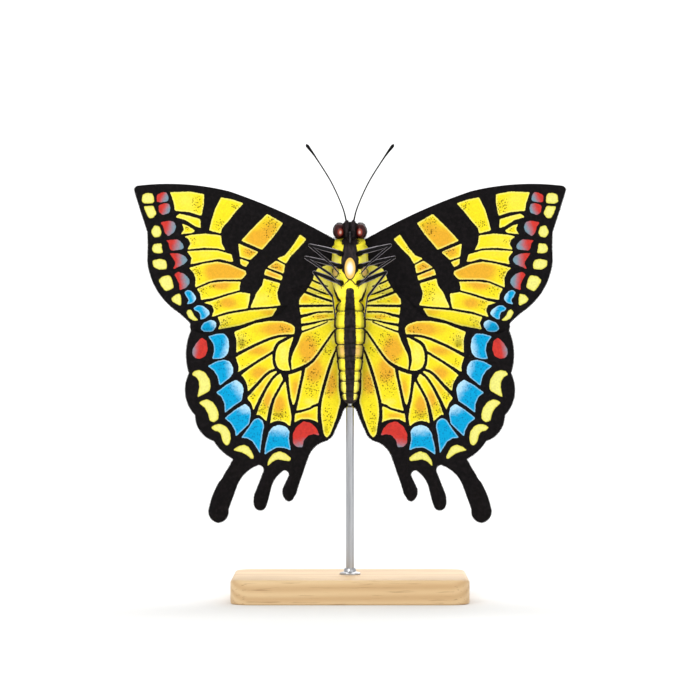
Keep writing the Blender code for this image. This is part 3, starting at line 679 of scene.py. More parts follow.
def wingSurface(points, side, marks, depth, rim):  # depth of the front (side -1) or back (side 1) face
    across, up = points[:, 0], points[:, 1]
    vein = veinDistance(points, marks["veins"])
    finish = wingFinish
    settled = ramp(rim, -finish["rimPast"], finish["rimWidth"])
    half = 0.5 * (finish["edge"] + (finish["thickness"] - finish["edge"]) * settled)
    ridge = finish["veinRise"] * bell(vein, 0, finish["veinWidth"]) * settled
    pleat = -finish["pleat"] * (bell(vein, 0, finish["pleatWidth"]) - finish["pleatLift"]) * settled
    wave = finish["ripple"]
    bend = wave["bend"] * np.sin(up * wave["bendUp"])
    ripple = np.sin(across * wave["across"] + bend) * np.sin(up * wave["up"] + wave["shift"])
    return depth(across, up) + pleat + wave["height"] * ripple + side * (half + ridge)


def makeWing(name, corners, marks, depth, paint):
    loop = wingLoop(corners)
    mesh = toMesh(name, wingTemplate(loop))
    flat = vertexSpots(mesh).astype(float)
    dorsal = flat[:, 1] > 0.5
    points = flat[:, [0, 2]]
    rim = within(points, loop, wingFinish["rimReach"])
    fields = {}
    solid = flat.copy()
    for side, chosen in ((-1, ~dorsal), (1, dorsal)):
        solid[chosen, 1] = wingSurface(points[chosen], side, marks, depth, rim[chosen])
        for key, value in wingFields(points[chosen], marks, side > 0).items():
            fields.setdefault(key, np.zeros(len(points)))[chosen] = value
    fields["dorsal"] = dorsal
    for sideName, side in sides.items():
        copy = mesh.copy()
        placed = (solid * (side, 1, 1) + (0, 0, hingeHeight)) * mm
        copy.vertices.foreach_set("co", placed.astype(np.float32).ravel())
        if side < 0:
            copy.flip_normals()
        for key, value in fields.items():
            setAttribute(copy, key, value)
        addMap(copy, wingSpot(points, loop, dorsal))
        piece = addPiece(f"{name}_{sideName}_scaled", copy, paint)
        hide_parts(f"{name}_{sideName}")
    print(name, "wings:", len(mesh.polygons), "faces each")


def wingSpot(points, loop, dorsal):  # a point's place on the wing's map: underside left, back right
    low = loop.min(axis=0)
    size = (loop.max(axis=0) - low).max()
    across, up = (points - low).T / size
    return np.column_stack([
        wingMap["margin"] + wingMap["width"] * across + wingMap["backFrom"] * dorsal,
        wingMap["margin"] + wingMap["height"] * up / wingMap["spare"],
    ])


fringe = {
    "spacing": 0.075, "length": 0.36, "width": 0.085, "margin": 0.22, "lift": (0.12, 0.12),
    "stray": 0.22, "lengthSpread": (0.75, 1.2),
    "frontEdge": 0.55,  # an edge that faces up more than this has no fringe
    "clearOfBody": (4.6, -6.0),  # across more than, or up less than
}
innerHair = {"across": 7.5, "up": (-24.5, -3.0), "length": 0.95}  # longer, beside the abdomen
rootHair = {
    "reach": 5.5, "thinning": 2.2, "count": 2600, "triesEach": 8, "span": 11.0,
    "length": 0.42, "backLength": 1.2, "lengthSpread": (0.7, 1.2), "shortening": 9.0, "shortest": 0.4,
    "width": 0.085, "lift": (0.08, 0.3), "stray": 0.2, "inside": 0.15, "underBody": 0.8,
    "from": (1.0, 3.0), "lowest": -27.0, "lowFade": 9.0,
    "bodyEdge": [(-26, 2.0), (-12, 3.4), (-3, 3.9), (0, 3.6), (6, 4.2), (13, 4.0), (16, 3.0)],  # up, across
}
wingHairSpread = {"width": (0.8, 1.2), "lift": (0.4, 1.6)}


def wingHair(name, points, headings, lengths, style, loop, marks, depth, paint, rng):
    # locks on both faces of both wings; points and headings are (across, up), lengths one row for each face
    rim = within(points, loop, wingFinish["rimReach"])
    for sideName, side in sides.items():
        parts = []
        for face in (-1, 1):
            level = wingSurface(points, face, marks, depth, rim)
            roots = np.column_stack([points[:, 0], level, points[:, 1]])
            normals = np.tile((0.0, float(face), 0.0), (len(points), 1))
            lies = np.column_stack([headings[:, 0], 0 * level, headings[:, 1]])
            fields = wingFields(points, marks, face > 0)
            fields["dorsal"] = np.full(len(points), face > 0)
            parts.append((roots, normals, lies, fields, wingSpot(points, loop, face > 0)))
        roots, normals, lies = (np.vstack([part[k] for part in parts]) * (side, 1, 1) for k in range(3))
        fields = {key: np.concatenate([part[3][key] for part in parts]) for key in parts[0][3]}
        spots = np.vstack([part[4] for part in parts])
        count = len(roots)
        widths = style["width"] * rng.uniform(*wingHairSpread["width"], count)
        lifts = np.repeat(style["lift"], count // 2) * rng.uniform(*wingHairSpread["lift"], count)
        makeLocks(f"{name}_{sideName}", roots, normals, lies, np.concatenate(lengths), widths, lifts, spots,
                  fields, paint)


def makeFringe(name, corners, marks, depth, paint):
    rng = np.random.default_rng(21)
    whole = outline(corners, fringe["spacing"])
    inside = drawnIn(whole, fringe["margin"])
    headings = unit(whole - inside)
    clearAcross, clearUp = fringe["clearOfBody"]
    free = ((whole[:, 0] > clearAcross) | (whole[:, 1] < clearUp)) & (headings[:, 1] <= fringe["frontEdge"])
    points, headings = inside[free], headings[free]
    headings = headings + rng.normal(0, fringe["stray"], headings.shape)
    innerLow, innerHigh = innerHair["up"]
    beside = (points[:, 0] < innerHair["across"]) & (points[:, 1] > innerLow) & (points[:, 1] < innerHigh)
    length = np.where(beside, innerHair["length"], fringe["length"])
    lengths = [length * rng.uniform(*fringe["lengthSpread"], len(points)) for _ in range(2)]
    loop = wingLoop(corners)
    wingHair(f"{name}_fringe", points, headings, lengths, fringe, loop, marks, depth, paint, rng)


def makeRootHair(name, corners, marks, depth, paint):
    rng = np.random.default_rng(33)
    loop = wingLoop(corners)
    low, high = loop.min(axis=0), loop.max(axis=0)
    tries = rootHair["count"] * rootHair["triesEach"]
    points = np.column_stack([
        rng.uniform(low[0], low[0] + rootHair["span"], tries), rng.uniform(low[1], high[1], tries),
    ])
    away = points[:, 0] - np.interp(points[:, 1], *zip(*rootHair["bodyEdge"]))
    thinning = np.maximum(away, 0) / rootHair["reach"] * rootHair["thinning"]
    keep = rng.random(tries) < np.exp(-thinning)
    keep &= (within(points, loop) > rootHair["inside"]) & (away > -rootHair["underBody"])
    keep &= rng.random(tries) < (points[:, 1] - rootHair["lowest"]) / rootHair["lowFade"]
    points, away = points[keep][:rootHair["count"]], away[keep][:rootHair["count"]]
    headings = unit(points - rootHair["from"]) + rng.normal(0, rootHair["stray"], points.shape)
    slim = np.clip(1 - away / rootHair["shortening"], rootHair["shortest"], 1)
    slim = slim * rng.uniform(*rootHair["lengthSpread"], len(points))
    lengths = [rootHair["length"] * slim, rootHair["backLength"] * slim]
    wingHair(f"{name}_root_hair", points, headings, lengths, rootHair, loop, marks, depth, paint, rng)


wingColours = {
    "yellow": tint(245, 226, 36),
    # pale yellow, for the pale rim and the painted highlights
    "paleYellow": tint(252, 244, 130),
    "orange": tint(230, 162, 48),
    "cream": tint(237, 233, 128),
    "creamRim": tint(226, 218, 92),
    "red": tint(208, 58, 50),
    "redDeep": tint(158, 34, 30),
    "slate": tint(112, 152, 168),
    "blue": tint(0, 163, 217),
    "blueLight": tint(186, 228, 250),
    "blueDeep": tint(0, 84, 150),
    "oliveAndShade": tint(112, 106, 24),
    "brown": tint(98, 72, 10),
    "black": tint(10, 8, 9),
    "blackSheen": tint(28, 23, 25),
}
wingGrain = {  # sizes in mm of what breaks up the colours
    "scale": 0.26, "scaleStretch": (1, 0.4, 0.8), "ragged": 0.08,
    "cloud": 2.6, "fine": 0.9, "grit": 0.14, "dust": 0.43,
    "markEdge": (-0.04, 0.05),  # how sharp the marks' edges are
}


def wingPaint():
    paint = Paint("wing scales", {"Roughness": 0.6, "Specular IOR Level": 0.08})
    tints, grain = wingColours, wingGrain
    scaleTone = paint.cells(grain["scale"], grain["scaleStretch"], out="Color")
    scaleTone = paint.node("SeparateColor", sockets={0: scaleTone})
    ragged = (scaleTone - 0.5) * grain["ragged"]  # scales break up the edges of the marks
    yellowEdge, creamEdge, roseEdge, blueEdge = (
        paint.attribute(name) + ragged for name in ("yellowEdge", "creamEdge", "roseEdge", "blueEdge")
    )
    cloud = paint.noise(grain["cloud"])
    fine = paint.noise(grain["fine"], detail=3.0)

    # yellow with orange patches, pale patches that are painted highlights, a pale rim, and scattered brown
    # scales
    flush = paint.step(paint.attribute("flush") + (cloud - 0.5) * 0.35, 0.04, 0.78)
    # painted highlights: the soft pale patches lighten the yellow towards pale yellow
    paleAndHighlight = paint.step(paint.attribute("paleAndHighlight") + (cloud - 0.5) * 0.3, 0.1, 0.9)
    yellow = paint.mix(flush * 0.85, tints["yellow"], tints["orange"])
    yellow = paint.mix(paleAndHighlight * 0.55, yellow, tints["paleYellow"])
    rim = 1 - paint.step(yellowEdge, 0.1, 0.55)
    yellow = paint.mix(rim * 0.6, yellow, tints["paleYellow"])
    oliveAndShade = paint.step(paint.attribute("oliveAndShade") + (fine - 0.5) * 0.5, 0.25, 0.8)
    yellow = paint.mix(oliveAndShade * 0.6, yellow, tints["oliveAndShade"])
    grit = paint.noise(grain["grit"])
    dust = paint.cells(grain["dust"]) + (grit - 0.5) * 0.45
    dustTone = paint.node("SeparateColor", sockets={0: paint.cells(grain["dust"], out="Color")})
    density = paint.attribute("speckle") * 1.9 + (cloud - 0.5) * 0.5
    yellow = paint.mix(paint.step(density, 0.6, 2.4) * 0.14, yellow, tints["oliveAndShade"])
    size = paint.step(density, 0.1, 0.9) * (0.12 + 0.4 * dustTone)
    dots = paint.step(size - dust, -0.04, 0.08) * paint.step(yellowEdge, 0.05, 0.25)
    yellow = paint.mix(dots * 0.82, yellow, tints["brown"])

    # black, the yellow cells, and the cream, rose and blue spots over them
    black = paint.mix(paint.step(fine, 0.35, 0.75) * 0.6, tints["black"], tints["blackSheen"])
    colour = paint.mix(paint.step(yellowEdge, *grain["markEdge"]), black, yellow)
    cream = paint.mix(paint.step(creamEdge, 0.05, 0.5), tints["creamRim"], tints["cream"])
    colour = paint.mix(paint.step(creamEdge, *grain["markEdge"]), colour, cream)
    red = paint.mix(paint.step(fine, 0.4, 0.8) * 0.5, tints["red"], tints["redDeep"])
    fade = paint.step(paint.attribute("roseFade") + (fine - 0.5) * 0.5, 0.0, 1.0)
    rose = paint.mix(fade * 0.95, red, tints["slate"])
    colour = paint.mix(paint.step(roseEdge, *grain["markEdge"]), colour, rose)
    shade = paint.step(paint.attribute("blueShade") + (fine - 0.5) * 0.3, -0.1, 0.42)
    blue = paint.mix(shade, tints["blueLight"], tints["blue"])
    flecks = paint.step(0.12 + 0.42 * dustTone - dust, 0.0, 0.1) * shade
    blue = paint.mix(flecks * 0.6, blue, tints["blueDeep"])
    blue = paint.mix((1 - paint.step(blueEdge, 0.05, 0.4)) * 0.45, blue, tints["blueLight"])
    colour = paint.mix(paint.step(blueEdge, *grain["markEdge"]), colour, blue)
    paint.colour(paint.shimmer(colour, scaleTone, 0.93, 0.14))
    rows = paint.cells(grain["scale"], grain["scaleStretch"])
    paint.bump(rows * -1 + fine * 0.5, 0.03, 0.5)
    return paint


room = {
    "floor": 3.0, "wall": 1.7, "wallHeight": 2.6, "bend": 0.8, "near": -2.2,  # metres
    "shades": (0.81, 0.83), "light": 0.78,
}
lights = {  # where it stands and what it points at, size in metres, watts, colour
    "key": ((-0.42, -0.75, 0.62), (0, 0, 0.07), 0.4, 2.9, (1.0, 0.985, 0.96)),
    "fill": ((0.6, -0.7, 0.25), (0, 0, 0.07), 0.6, 1.0, (0.97, 0.985, 1.0)),
    "top": ((0.05, 0.25, 0.8), (0, 0, 0.07), 0.6, 1.0, (1.0, 1.0, 1.0)),
    "back": ((0.25, 0.62, 0.4), (0, 0, 0.08), 0.4, 1.0, (1.0, 1.0, 1.0)),
    "wall": ((0, 0.9, 1.6), (0, 1.7, 0.5), 1.0, 16.0, (1.0, 1.0, 1.0)),
}
camera = {
    "frameWidth": 0.175,  # metres that the frame spans at the wings
    "wingPlane": 0.0085,  # depth of the spread wings' middle, in metres
    "height": 0.0615, "lens": 160.0, "film": 36.0,  # height in metres, the others in mm
}


def makeRoom():  # a floor that bends up into a wall
    bm = bmesh.new()
    front = [bm.verts.new((side * room["floor"], room["near"], 0)) for side in (-1, 1)]
    last = [bm.edges.new(front)]
    for step in ((0, room["wall"] - room["near"], 0), (0, 0, room["wallHeight"])):
        ring = bmesh.ops.extrude_edge_only(bm, edges=last)["geom"]
        moved = [item for item in ring if isinstance(item, bmesh.types.BMVert)]
        bmesh.ops.translate(bm, verts=moved, vec=step)
        last = [item for item in ring if isinstance(item, bmesh.types.BMEdge)
                and all(v in moved for v in item.verts)]
    corner = [e for e in bm.edges if len(e.link_faces) == 2]
    bmesh.ops.bevel(
        bm, geom=corner, offset=room["bend"], segments=16, profile=0.5, affect="EDGES", material=-1,
    )
    bmesh.ops.recalc_face_normals(bm, faces=bm.faces)
    paint = Paint("paper", {"Roughness": 0.9, "Specular IOR Level": 0.1})
    darker, lighter = ((shade, shade, shade, 1) for shade in room["shades"])
    paint.colour(paint.mix(paint.noise(300.0), darker, lighter))
    addObject("floor", toMesh("floor", bm), paint)


def makeLights():
    for name, (spot, aim, size, watts, colour) in lights.items():
        lamp = bpy.data.lights.new(name, "AREA")
        lamp.shape = "DISK"
        lamp.size = size
        lamp.energy = watts
        lamp.color = colour
        holder = bpy.data.objects.new(name, lamp)
        holder.visible_camera = False
        holder.location = spot
        holder.rotation_euler = (Vector(aim) - Vector(spot)).to_track_quat("-Z", "Y").to_euler()
        bpy.context.scene.collection.objects.link(holder)
    world = bpy.data.worlds.new("room light")
    world.use_nodes = True
    background = world.node_tree.nodes["Background"]
    background.inputs["Color"].default_value = (1, 1, 1, 1)
    background.inputs["Strength"].default_value = room["light"]
    bpy.context.scene.world = world
    bpy.context.scene.view_settings.view_transform = "Standard"


def makeCamera():
    lens = bpy.data.cameras.new("camera")
    lens.lens = camera["lens"]
    lens.sensor_width = camera["film"]
    holder = bpy.data.objects.new("camera", lens)
    away = camera["frameWidth"] * camera["lens"] / camera["film"]
    holder.location = (0, camera["wingPlane"] - away, camera["height"])
    holder.rotation_euler = (math.radians(90), 0, 0)
    bpy.context.scene.collection.objects.link(holder)
    bpy.context.scene.camera = holder


# a lock of hair: its corners on the map, from root to tip, and its faces
lockCorners = np.array([(-1, -1), (0, -1), (1, -1), (-0.6, 0), (0, 0), (0.6, 0), (0, 1)])
lockFaces = [(1, 0, 3, 4), (2, 1, 4, 5), (0, 2, 5, 3), (4, 3, 6), (5, 4, 6), (3, 5, 6), (0, 1, 2)]
lock = {
    "tuck": 0.06,  # how deep the root sits, in mm
    "bend": 0.3,  # how much of the lift is left at the tip
    "middleWidth": 0.8, "ridge": 0.8,  # shares of the width at the root
    "patch": 0.003,  # its size on the map
    "lengths": (0.7, 1.2), "lifts": (0.6, 1.4),  # how much one lock differs from the next
}


def makeLocks(name, roots, normals, lies, lengths, widths, lifts, spots, fields, paint):
    # three-sided, tapered and bent over towards their lie; roots are (across, depth, up)
    lies = unit(lies - normals * (lies * normals).sum(axis=1, keepdims=True))
    rights = np.cross(lies, normals)
    bent = lifts * lock["bend"]
    start = lies * np.cos(lifts)[:, None] + normals * np.sin(lifts)[:, None]
    end = lies * np.cos(bent)[:, None] + normals * np.sin(bent)[:, None]
    base = roots - normals * lock["tuck"]
    middle = base + start * (lengths * 0.5)[:, None]
    tip = middle + end * (lengths * 0.5)[:, None]
    half = (widths / 2)[:, None]
    across, high, slim = rights * half, normals * half * lock["ridge"], lock["middleWidth"]
    corners = np.stack([
        base - across, base + across, base + high,
        middle - across * slim, middle + across * slim, middle + high * slim, tip,
    ], axis=1)
    count, size = corners.shape[:2]
    corners[..., 2] += hingeHeight
    corners = corners.reshape(-1, 3) * mm
    faces = [tuple(size * k + i for i in face) for k in range(count) for face in lockFaces]
    mesh = bpy.data.meshes.new(name)
    mesh.from_pydata(corners.tolist(), [], faces)
    for key, value in fields.items():
        setAttribute(mesh, key, np.repeat(np.asarray(value, float), size))
    addMap(mesh, (spots[:, None, :] + lockCorners[None] * lock["patch"] / 2).reshape(-1, 2))
    addPiece(name, mesh, paint)
    print(name, "with", count, "locks")


body = {
    "profile": [  # up, half width, half depth, depth of the middle, squareness
        (19.25, 0.0, 0.0, -0.3, 2.0), (19.1, 1.15, 0.95, -0.3, 2.0), (18.6, 1.8, 1.5, -0.3, 2.0),
        (17.8, 2.05, 1.92, -0.3, 2.0), (17.0, 2.02, 2.02, -0.3, 2.0), (16.2, 1.85, 1.85, -0.3, 2.0),
        (15.6, 1.9, 1.55, -0.25, 2.0), (15.1, 1.8, 1.3, -0.1, 2.0), (14.75, 1.9, 1.4, 0.0, 2.1),
        (14.4, 2.55, 2.1, 0.0, 2.3), (13.85, 3.25, 2.75, 0.0, 2.5), (12.9, 3.75, 3.25, 0.0, 2.5),
        (10.0, 4.12, 3.65, 0.0, 2.5), (6.5, 4.18, 3.7, 0.0, 2.5), (3.0, 3.85, 3.35, 0.0, 2.5),
        (0.8, 3.2, 2.8, 0.0, 2.4), (-0.1, 2.6, 2.2, 0.0, 2.2), (-0.6, 2.5, 2.1, 0.0, 2.0),
        (-1.7, 3.4, 2.85, 0.0, 2.0), (-5.05, 3.9, 3.3, 0.0, 2.0), (-9.2, 3.85, 3.25, 0.0, 2.0),
        (-12.85, 3.42, 2.9, 0.0, 2.0), (-16.1, 3.12, 2.65, 0.0, 2.0), (-18.95, 2.78, 2.35, 0.0, 2.0),
        (-21.7, 2.52, 2.15, 0.0, 2.0), (-24.2, 2.0, 1.7, 0.0, 2.0), (-25.3, 1.3, 1.1, 0.0, 2.0),
        (-25.8, 0.55, 0.5, 0.0, 2.0), (-25.88, 0.0, 0.0, 0.0, 2.0),
    ],
    "rings": [-2.9, -7.2, -11.2, -14.5, -17.7, -20.2, -23.2],
    "ringDepth": 0.42, "ringWidth": 0.4, "ringWave": 0.12, "ringRoom": 0.8,
    # shallow forms: the smooth breast plate between two furrows, the hump and the seam of the back
    "plate": {"rise": 0.18, "width": 1.3, "up": 7.6, "height": 2.5},
    "furrow": {"rise": -0.16, "across": 1.9, "width": 0.35, "up": 7.5, "height": 4.5},
    "hump": {"rise": 0.12, "up": 8.2, "height": 3.6},
    "seam": {"rise": -0.22, "up": 3.4, "slope": 0.35, "width": 0.35},
    "fineness": 12, "steps": 420, "around": 112,
}


def bodyProfile(up):  # half width, half depth, depth of the middle and squareness at each height
    table = np.array(body["profile"])[::-1]
    fineLine = curve(table, body["fineness"])
    order = np.maximum.accumulate(fineLine[:, 0])
    return [np.interp(up, order, fineLine[:, k]) for k in range(1, 5)]


def bodySkin(angle, up):  # a point of the skin; the angle is 0 in front and a quarter turn at the left
    halfWidth, halfDepth, middle, squareness = bodyProfile(up)
    sine, cosine = np.sin(angle), np.cos(angle)
    corner = (np.abs(sine) ** squareness + np.abs(cosine) ** squareness) ** (-1 / squareness)
    grooves = sum(bell(up - body["ringWave"] * cosine, ring, body["ringWidth"]) for ring in body["rings"])
    shell = 1 - body["ringDepth"] * grooves / np.maximum(halfWidth, body["ringRoom"])
    across = halfWidth * sine * corner * shell
    depth = middle - halfDepth * cosine * corner * shell

    front, back = np.clip(cosine, 0, 1), np.clip(-cosine, 0, 1)
    plate, furrow, hump, seam = (body[form] for form in ("plate", "furrow", "hump", "seam"))
    depth = depth - front * (
        plate["rise"] * bell(across, 0, plate["width"]) * bell(up, plate["up"], plate["height"])
        + furrow["rise"] * bell(np.abs(across), furrow["across"], furrow["width"])
        * bell(up, furrow["up"], furrow["height"])
    )
    depth = depth + back * (
        hump["rise"] * bell(up, hump["up"], hump["height"])
        + seam["rise"] * bell(up - seam["slope"] * np.abs(across), seam["up"], seam["width"])
    )
    return np.column_stack([across, depth, up])


def bodyNormal(angle, up):
    step = 0.01
    turn = bodySkin(angle + step, up) - bodySkin(angle - step, up)
    rise = bodySkin(angle, up + step) - bodySkin(angle, up - step)
    return unit(np.cross(turn, rise))


bodyMap = {"margin": (0.01, 0.02), "size": (0.98, 0.96), "low": -26.0, "height": 46.0}


def bodySpot(points):  # a point's place on the body's map: angle across, height up
    turn = np.arctan2(points[:, 0], -points[:, 1]) / math.tau % 1.0
    share = (points[:, 2] - bodyMap["low"]) / bodyMap["height"]
    return bodyMap["margin"] + np.column_stack([turn, share]) * bodyMap["size"]


bodyMarks = {
    "frontStripe": [(-26, 0.9), (-24, 0.95), (-17, 1.2), (-10, 1.5), (-4, 1.35), (2.3, 0.95), (2.7, 0.6),
                    (2.9, -0.4), (4.5, -0.4), (4.8, 0.05), (7.0, 2.05), (8.5, 2.2), (10.0, 2.15),
                    (12.0, 1.8), (13.7, 1.5), (15.5, 1.3), (20, 1.3)],
    "backStripe": [(-26, 1.1), (-20, 1.2), (-12, 1.6), (-3, 1.9), (-0.5, 1.6), (1.0, 1.9), (6.0, 2.5),
                   (11.0, 2.4), (13.5, 1.5), (16, 1.5), (20, 1.5)],
    "neck": {"up": 13.75, "across": 1.6, "slope": 0.9, "level": 0.75, "back": 13.9},  # end of the yellow
    "tip": -24.8, "ringLine": 0.13, "waist": -1.0,
    "sideLine": {"width": 0.34, "ahead": 0.13, "top": 4.6, "fade": 3.0},  # shares of the half depth; up
    "wingLine": {"from": 4.5, "depth": 1.2, "width": 0.55},  # black under the wings' roots
    "plate": (7.6, 1.32, 2.6),  # up of its middle, half width, half height
    "vee": [(0.0, 4.95, 0.14), (0.9, 4.1, 0.14), (1.55, 3.4, 0.1)],
    "hip": (3.55, 7.1, 0.62, 1.45),  # across and up of its middle, half width, half height
    "hipLine": (1.12, 0.09), "hipTan": {"edge": 1.1, "fade": 0.3, "share": 0.9},
    "tan": [(-12.6, 2.0, 1.0), (-8.6, 1.2, 0.4)],  # up, half height, strength
    "paleChest": {"across": 2.0, "width": 1.6, "top": 13.0, "fade": 3.0},
    "paleTail": {"top": -17.0, "fade": 3.0, "share": 0.7},
    "paintedShadeFlank": (0.55, 0.35),  # painted shade, olive towards the abdomen's sides: share of the half width where it starts, and how far it rises
}


def bodyFields(points):  # what the body's material reads at each point
    across, depth, up = np.abs(points[:, 0]), points[:, 1], points[:, 2]
    marks = bodyMarks
    front, abdomen = depth < 0, up < marks["waist"]
    stripe = np.where(
        front, np.interp(up, *zip(*marks["frontStripe"])), np.interp(up, *zip(*marks["backStripe"])),
    )
    yellow = across - stripe
    neck = marks["neck"]
    collar = (neck["up"] + neck["slope"] * (across - neck["across"]) - up) * neck["level"]
    yellow = np.minimum(yellow, np.where(front, collar, neck["back"] - up))
    yellow = np.minimum(yellow, up - marks["tip"])
    for ring in body["rings"]:
        yellow = np.minimum(yellow, np.where(abdomen, np.abs(up - ring) - marks["ringLine"], markReach))
    halfWidth, halfDepth = (np.maximum(size, 0.5) for size in bodyProfile(up)[:2])
    line, wing = marks["sideLine"], marks["wingLine"]
    sideHalf = line["width"] * halfDepth * ramp(-up, -line["top"], line["fade"])
    sideLine = np.abs(depth + line["ahead"] * halfDepth) - sideHalf
    lateral = np.where(up < wing["from"], sideLine, np.abs(depth - wing["depth"]) - wing["width"])
    yellow = np.minimum(yellow, np.where(front & (up > wing["from"]), markReach, lateral))
    vee = offStroke(np.column_stack([across, up]), marks["vee"])
    yellow = np.where(front, np.minimum(yellow, vee), yellow)

    middle, plateWidth, plateHeight = marks["plate"]
    reach = np.hypot(across / plateWidth, (up - middle) / plateHeight)
    plate = np.where(front & (up > 0), (1 - reach) * plateWidth, -markReach)
    hipAcross, hipUp, hipWidth, hipHeight = marks["hip"]
    hip = np.hypot((across - hipAcross) / hipWidth, (up - hipUp) / hipHeight)
    hipEdge, hipHalf = marks["hipLine"]
    yellow = np.where(front, np.minimum(yellow, np.abs(hip - hipEdge) * hipWidth - hipHalf), yellow)
    tan = sum(strength * bell(up, middle, height) for middle, height, strength in marks["tan"])
    hipTan, chest, tail = marks["hipTan"], marks["paleChest"], marks["paleTail"]
    tan = tan + np.where(front, hipTan["share"] * ramp(-hip, -hipTan["edge"], hipTan["fade"]), 0)
    paleChest = ramp(across, chest["across"], chest["width"]) * ramp(-up, -chest["top"], chest["fade"])
    paleTail = tail["share"] * ramp(-up, -tail["top"], tail["fade"])
    return {
        "yellowEdge": np.clip(yellow, -markReach, markReach),
        "plateEdge": np.clip(plate, -markReach, markReach),
        "flush": tan,
        "oliveAndShade": np.where(abdomen, ramp(across / halfWidth, *marks["paintedShadeFlank"]), 0),
        "cream": np.where(up > marks["waist"], paleChest, paleTail),
    }


def sleeve(around, rows):  # an open tube of unit height and radius, to be bent into shape
    bm = bmesh.new()
    bmesh.ops.create_cone(bm, cap_ends=False, segments=around, radius1=1, radius2=1, depth=1)
    upright = [e for e in bm.edges if abs(e.verts[0].co.z - e.verts[1].co.z) > 0.5]
    bmesh.ops.subdivide_edges(bm, edges=upright, cuts=rows - 1, use_grid_fill=True)
    return bm


def bendSleeve(bm, shape):  # shape(angle, height 0 to 1) gives (across, depth, up)
    local = np.array([v.co for v in bm.verts])
    angle = np.arctan2(local[:, 0], -local[:, 1])
    for v, spot in zip(bm.verts, shape(angle, local[:, 2] + 0.5)):
        v.co = place(*spot)
    bmesh.ops.remove_doubles(bm, verts=bm.verts, dist=sameSpot)
    bm.normal_update()
    bmesh.ops.recalc_face_normals(bm, faces=bm.faces)


def tubeShape(path, radii):  # a round tube along a path, with closed ends
    path, radii = np.array(path, float), np.array(radii, float)
    along = unit(np.gradient(path, axis=0))
    frames = [unit(np.cross(along[0], (0.31, 0.9, 0.3)))]
    for direction in along[1:]:
        frames.append(unit(frames[-1] - direction * (frames[-1] @ direction)))
    first = np.array(frames)
    second = np.cross(along, first)

    def shape(angle, height):
        row = np.clip(np.rint(height * (len(path) - 1)).astype(int), 0, len(path) - 1)
        spoke = first[row] * np.cos(angle)[:, None] + second[row] * np.sin(angle)[:, None]
        return path[row] + spoke * radii[row][:, None]

    return shape


def makeTube(name, path, radii, around, paint):
    bm = sleeve(around, len(path) - 1)
    bendSleeve(bm, tubeShape(path, radii))
    return addPiece(name, toMesh(name, bm), paint)


def bodyPaint(name, finish):  # the skin and the hair over it carry the same marks
    paint = Paint(name, finish)
    ragged = (paint.noise(0.35) - 0.5) * 0.35
    yellowEdge = paint.attribute("yellowEdge") + ragged
    plateEdge = paint.attribute("plateEdge")
    tone = paint.noise(0.8, (1, 1, 0.35), detail=3.0)
    cream = paint.step(paint.attribute("cream") + (tone - 0.5) * 0.3, 0.0, 1.0)
    yellow = paint.mix(cream * 0.35, tint(255, 242, 60), tint(255, 248, 170))
    tan = paint.step(paint.attribute("flush") + (tone - 0.5) * 0.4, 0.15, 1.0)
    yellow = paint.mix(tan * 0.75, yellow, tint(222, 172, 110))
    # painted shade: the abdomen turns olive towards its sides
    oliveAndShade = paint.step(paint.attribute("oliveAndShade") + (tone - 0.5) * 0.4, 0.1, 0.9)
    yellow = paint.mix(oliveAndShade * 0.85, yellow, tint(138, 132, 40))
    black = paint.mix(paint.step(tone, 0.35, 0.7), tint(20, 16, 16), tint(46, 36, 38))
    colour = paint.mix(paint.step(yellowEdge, -0.08, 0.1), black, yellow)
    # the breast plate's own pale colour, tan at its rim, whitening to a painted highlight in the middle
    plate = paint.mix(paint.step(plateEdge, 0.2, 1.05), tint(238, 192, 92), tint(252, 249, 236))
    colour = paint.mix(paint.step(plateEdge, -0.22, -0.14), colour, tint(22, 16, 14))
    colour = paint.mix(paint.step(plateEdge, -0.05, 0.05), colour, plate)
    paint.colour(paint.shimmer(colour, tone, 1.02, 0.25))
    glossy = paint.step(plateEdge, -0.1, 0.05)
    paint.roughness(0.75 - glossy * 0.5)
    fine = paint.cells(0.16, (1, 1, 0.6))
    paint.bump(fine * (1 - glossy), 0.04, 0.6)
    return paint


darkHair = {"yellowEdge": -1.0, "plateEdge": -markReach, "flush": 0.0, "oliveAndShade": 0.0, "cream": 0.0}
palp = {
    "across": 0.75, "radius": 0.42,
    "path": [(-2.6, 15.4), (-3.2, 16.8), (-3.05, 18.1), (-2.6, 19.3)],  # depth, up
    "around": 20, "thin": (0.65, 0.35), "bulge": (0.15, 0.8),  # fuller in the middle
    "hairs": 520, "length": 0.5, "width": 0.1, "lift": 0.35, "shift": 0.1,
}


def palpPath(side):
    points = curve([(side * palp["across"], *spot) for spot in palp["path"]], 8)
    share = np.linspace(0, 1, len(points))
    (least, gain), (start, run) = palp["thin"], palp["bulge"]
    radii = palp["radius"] * (least + gain * np.sin(math.pi * (start + run * share)))
    radii[0] = radii[-1] = 0
    return points, radii


def makeBodySkin(paint):
    bm = sleeve(body["around"], body["steps"])
    low, high = body["profile"][-1][0], body["profile"][0][0]
    bendSleeve(bm, lambda angle, height: bodySkin(angle, low + (high - low) * height))
    mesh = toMesh("body_skin", bm)
    points = vertexSpots(mesh) / mm - (0, 0, hingeHeight)
    for key, value in bodyFields(points).items():
        setAttribute(mesh, key, value)
    piece = addPiece("body_skin", mesh, paint)
    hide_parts("head", "thorax", "abdomen")


